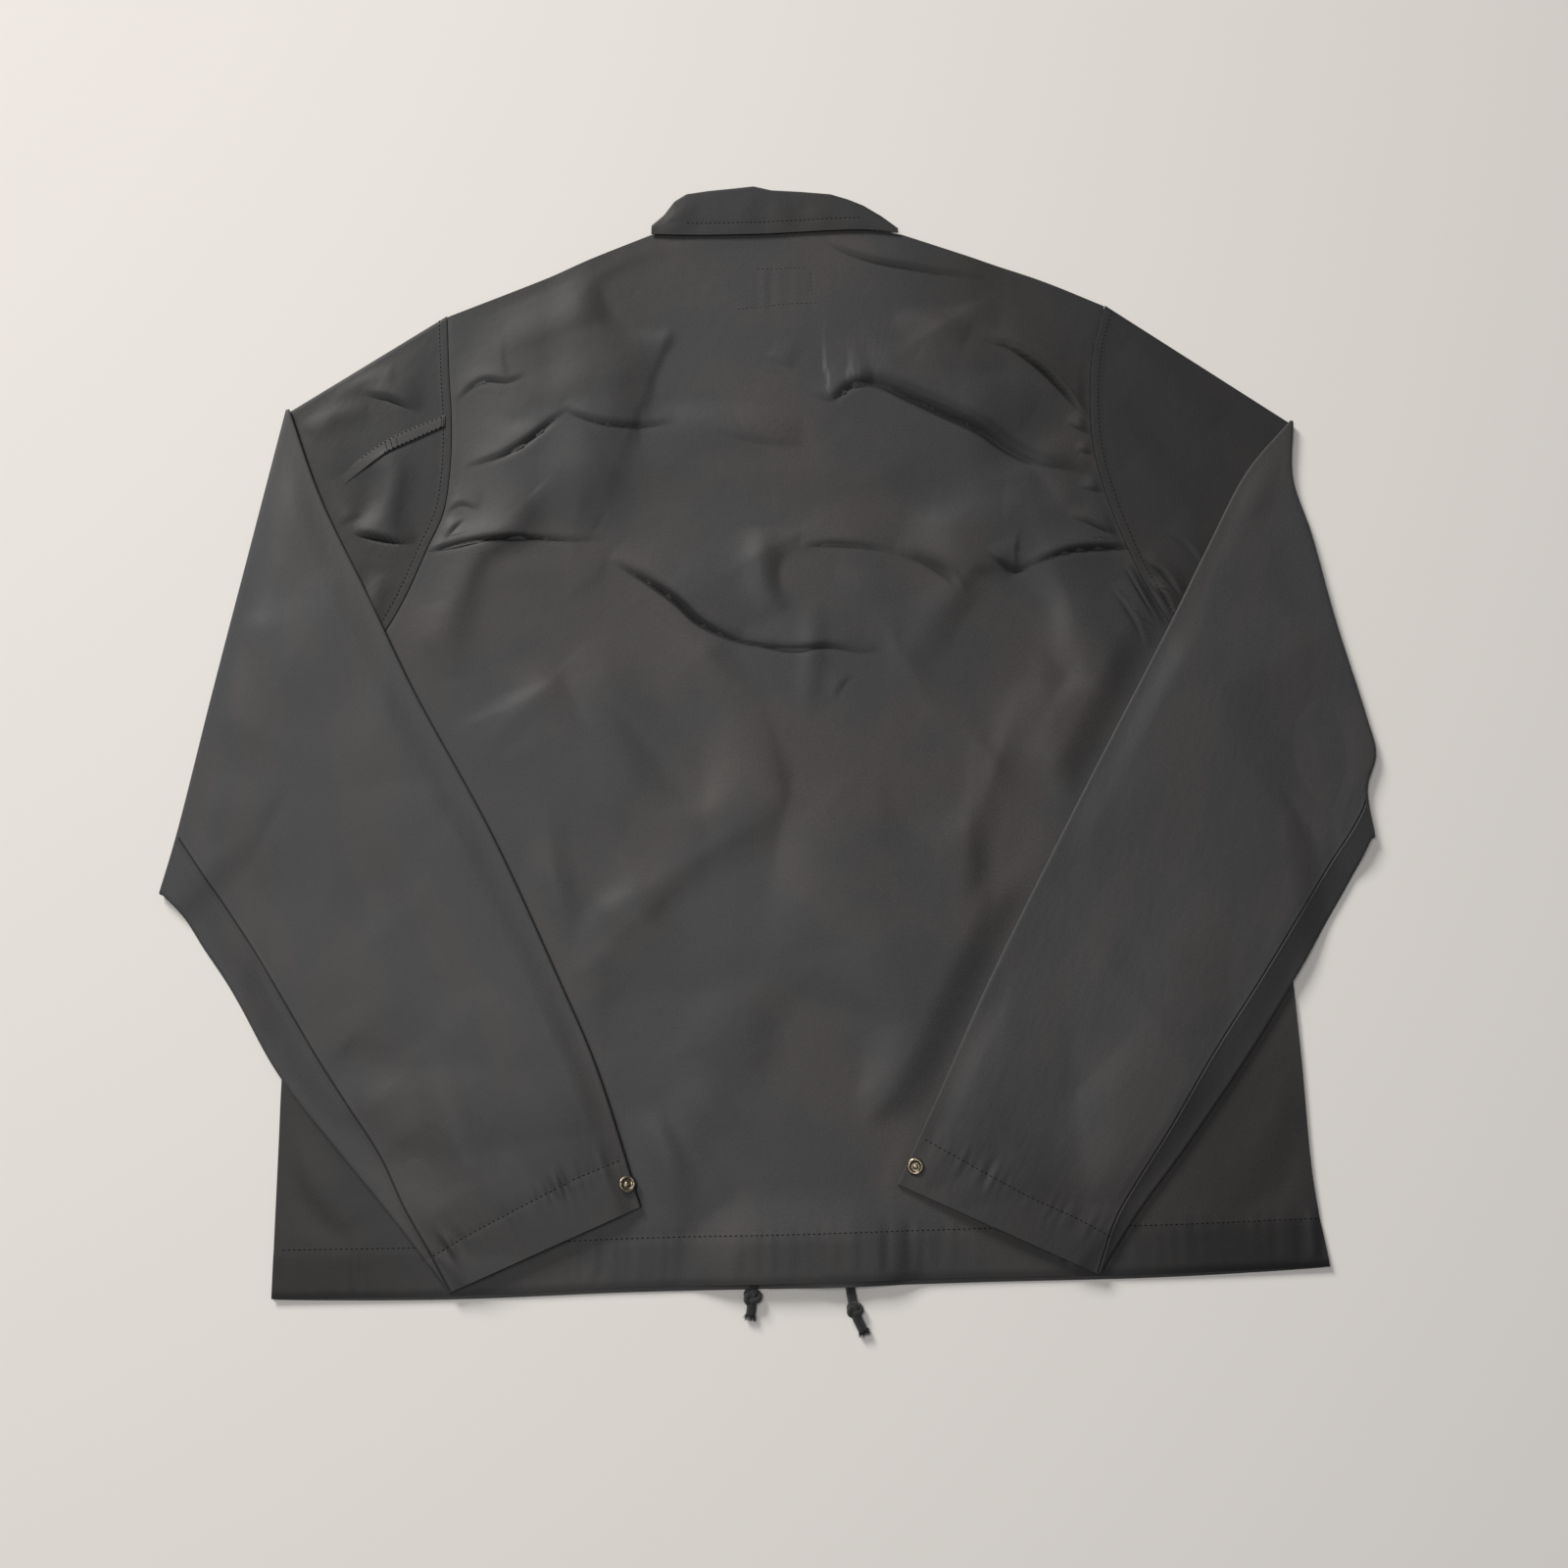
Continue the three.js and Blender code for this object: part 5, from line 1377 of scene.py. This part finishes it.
def swept(name, line, wide, high, closed=False):
    """An oval carried along points. Its width lies level and its height square to that; it is closed by caps,
    or into a ring. Its map has the share of the way round and the length along in millimetres."""
    way = unit(np.roll(line, -1, axis=0) - np.roll(line, 1, axis=0) if closed else np.gradient(line, axis=0))
    level = unit(np.stack([-way[:, 1], way[:, 0], np.zeros(len(way))], -1))
    up = np.cross(way, level)
    angle = np.linspace(0, 2 * np.pi, CORD_SIDES, endpoint=False)
    across = np.broadcast_to(wide, len(line))[:, None, None] * np.cos(angle)[:, None]
    above = np.broadcast_to(high, len(line))[:, None, None] * np.sin(angle)[:, None]
    points = line[:, None] + level[:, None] * across + up[:, None] * above
    number = np.arange(len(line) * CORD_SIDES).reshape(len(line), CORD_SIDES)
    after = np.roll(number, -1, axis=1)
    if closed:
        number = np.vstack([number, number[:1]])
        after = np.vstack([after, after[:1]])
    faces = np.stack([number[:-1], after[:-1], after[1:], number[1:]], -1).reshape(-1, 4).tolist()
    if not closed:
        faces += [number[0, ::-1].tolist(), number[-1].tolist()]
    mesh = bpy.data.meshes.new(name)
    mesh.from_pydata((points.reshape(-1, 3) * MM).tolist(), [], faces)
    run = run_along(line)
    corner = np.empty(len(mesh.loops), np.int32)
    mesh.loops.foreach_get("vertex_index", corner)
    flat = np.stack([corner % CORD_SIDES / CORD_SIDES, run[corner // CORD_SIDES]], -1)
    mesh.uv_layers.new(name="cut").data.foreach_set("uv", flat.ravel())
    mesh.shade_smooth()
    piece = bpy.data.objects.new(name, mesh)
    scene.collection.objects.link(piece)
    return piece


def knot_line(center, size):
    """A closed overhand knot: three lobes that pass over and under each other twice round, pressed flat."""
    t = np.linspace(0, 2 * np.pi, 120, endpoint=False)
    out = 2.35 + 1.05 * np.cos(3 * t)
    lobes = [out * np.cos(2 * t), 0.92 * out * np.sin(2 * t), -0.85 * np.sin(3 * t)]
    return center + size * np.stack(lobes, -1)


def frayed(name, start, way, seed):
    """The loose yarns at a cord's end: thin bent tubes of three sides that spread from the last of the braid."""
    chance = np.random.default_rng(seed)
    count = 170
    steps = np.linspace(0, 1, 6)
    side = unit(np.cross(way, [0.0, 0.0, 1.0]))
    upward = np.array([0.0, 0.0, 1.0])
    out = chance.uniform(-1, 1, (count, 1)) * side * 2.3 + chance.uniform(-0.8, 0.9, (count, 1)) * upward
    spread = chance.uniform(0.2, 0.9, (count, 1)) * out + chance.uniform(-0.6, 0.6, (count, 3)) * (1, 1, 0.3)
    length = chance.uniform(2.2, 5.2, (count, 1))
    along = steps[:, None]
    line = (start + out)[:, None] + (way * length)[:, None] * along + spread[:, None] * along ** 2
    line[..., 2] = np.maximum(line[..., 2], 0.25)
    angle = np.linspace(0, 2 * np.pi, 3, endpoint=False)
    ring = side * np.cos(angle)[:, None] + upward * np.sin(angle)[:, None]
    thick = 0.17 * (1 - 0.6 * steps)
    points = line[:, :, None] + ring[::-1] * thick[:, None, None]
    number = np.arange(count * 18).reshape(count, 6, 3)
    after = np.roll(number, -1, axis=2)
    sides = np.stack([number[:, :-1], after[:, :-1], after[:, 1:], number[:, 1:]], -1).reshape(-1, 4)
    caps = np.concatenate([number[:, 0, ::-1], number[:, -1]])
    mesh = bpy.data.meshes.new(name)
    mesh.from_pydata((points.reshape(-1, 3) * MM).tolist(), [], sides.tolist() + caps.tolist())
    mesh.shade_smooth()
    piece = bpy.data.objects.new(name, mesh)
    scene.collection.objects.link(piece)
    return piece


braid = Finish("black_braid", Sheen_Weight=0.25, Sheen_Roughness=0.6, Specular_IOR_Level=0.25)
braid_cut = braid.node("ShaderNodeUVMap", {"uv_map": "cut"}).outputs["UV"]
braid_map = braid.node("ShaderNodeSeparateXYZ", {}, Vector=braid_cut)
round_share = braid.number(braid_map, "X")
run_length = braid.number(braid_map, "Y")
one_way = (round_share * 8 + run_length * 0.9) * (2 * math.pi)
other_way = (round_share * 8 - run_length * 0.9) * (2 * math.pi)
plait = one_way.math("MAXIMUM", one_way.math("SINE", one_way), other_way.math("SINE", other_way))
lint = braid.noise(braid.node("ShaderNodeTexCoord", {}).outputs["Object"], 1500, 3)
# The braid's black, darker between its strands and lighter on their crests: painted shade
braid_black_and_strand_shade = braid.mix(plait * 0.5 + lint * 0.4, (0.0025, 0.0027, 0.003, 1), (0.011, 0.0115, 0.0125, 1))
braid_finish = braid.ends(braid_black_and_strand_shade, 0.75 + lint * 0.15, plait * 0.25 + lint * 0.15)
for row in CORDS:
    line = through(row["path"])(np.linspace(0, 1, CORD_RINGS))
    cord = swept(row["name"] + "_braid", line, CORD_WIDE, CORD_HIGH)
    knot_at = np.array(row["path"][row["knot"]], float)
    knot = swept(row["name"] + "_knot", knot_line(knot_at, row["knot_size"]), 1.75, 1.5, closed=True)
    tail = frayed(row["name"] + "_tail", line[-4], unit(line[-1] - line[-6]), row["seed"])
    for piece in (cord, knot, tail):
        piece.data.materials.append(braid_finish)
        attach(piece, "root")
    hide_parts(row["name"])
    line[0] * MM
    line * MM
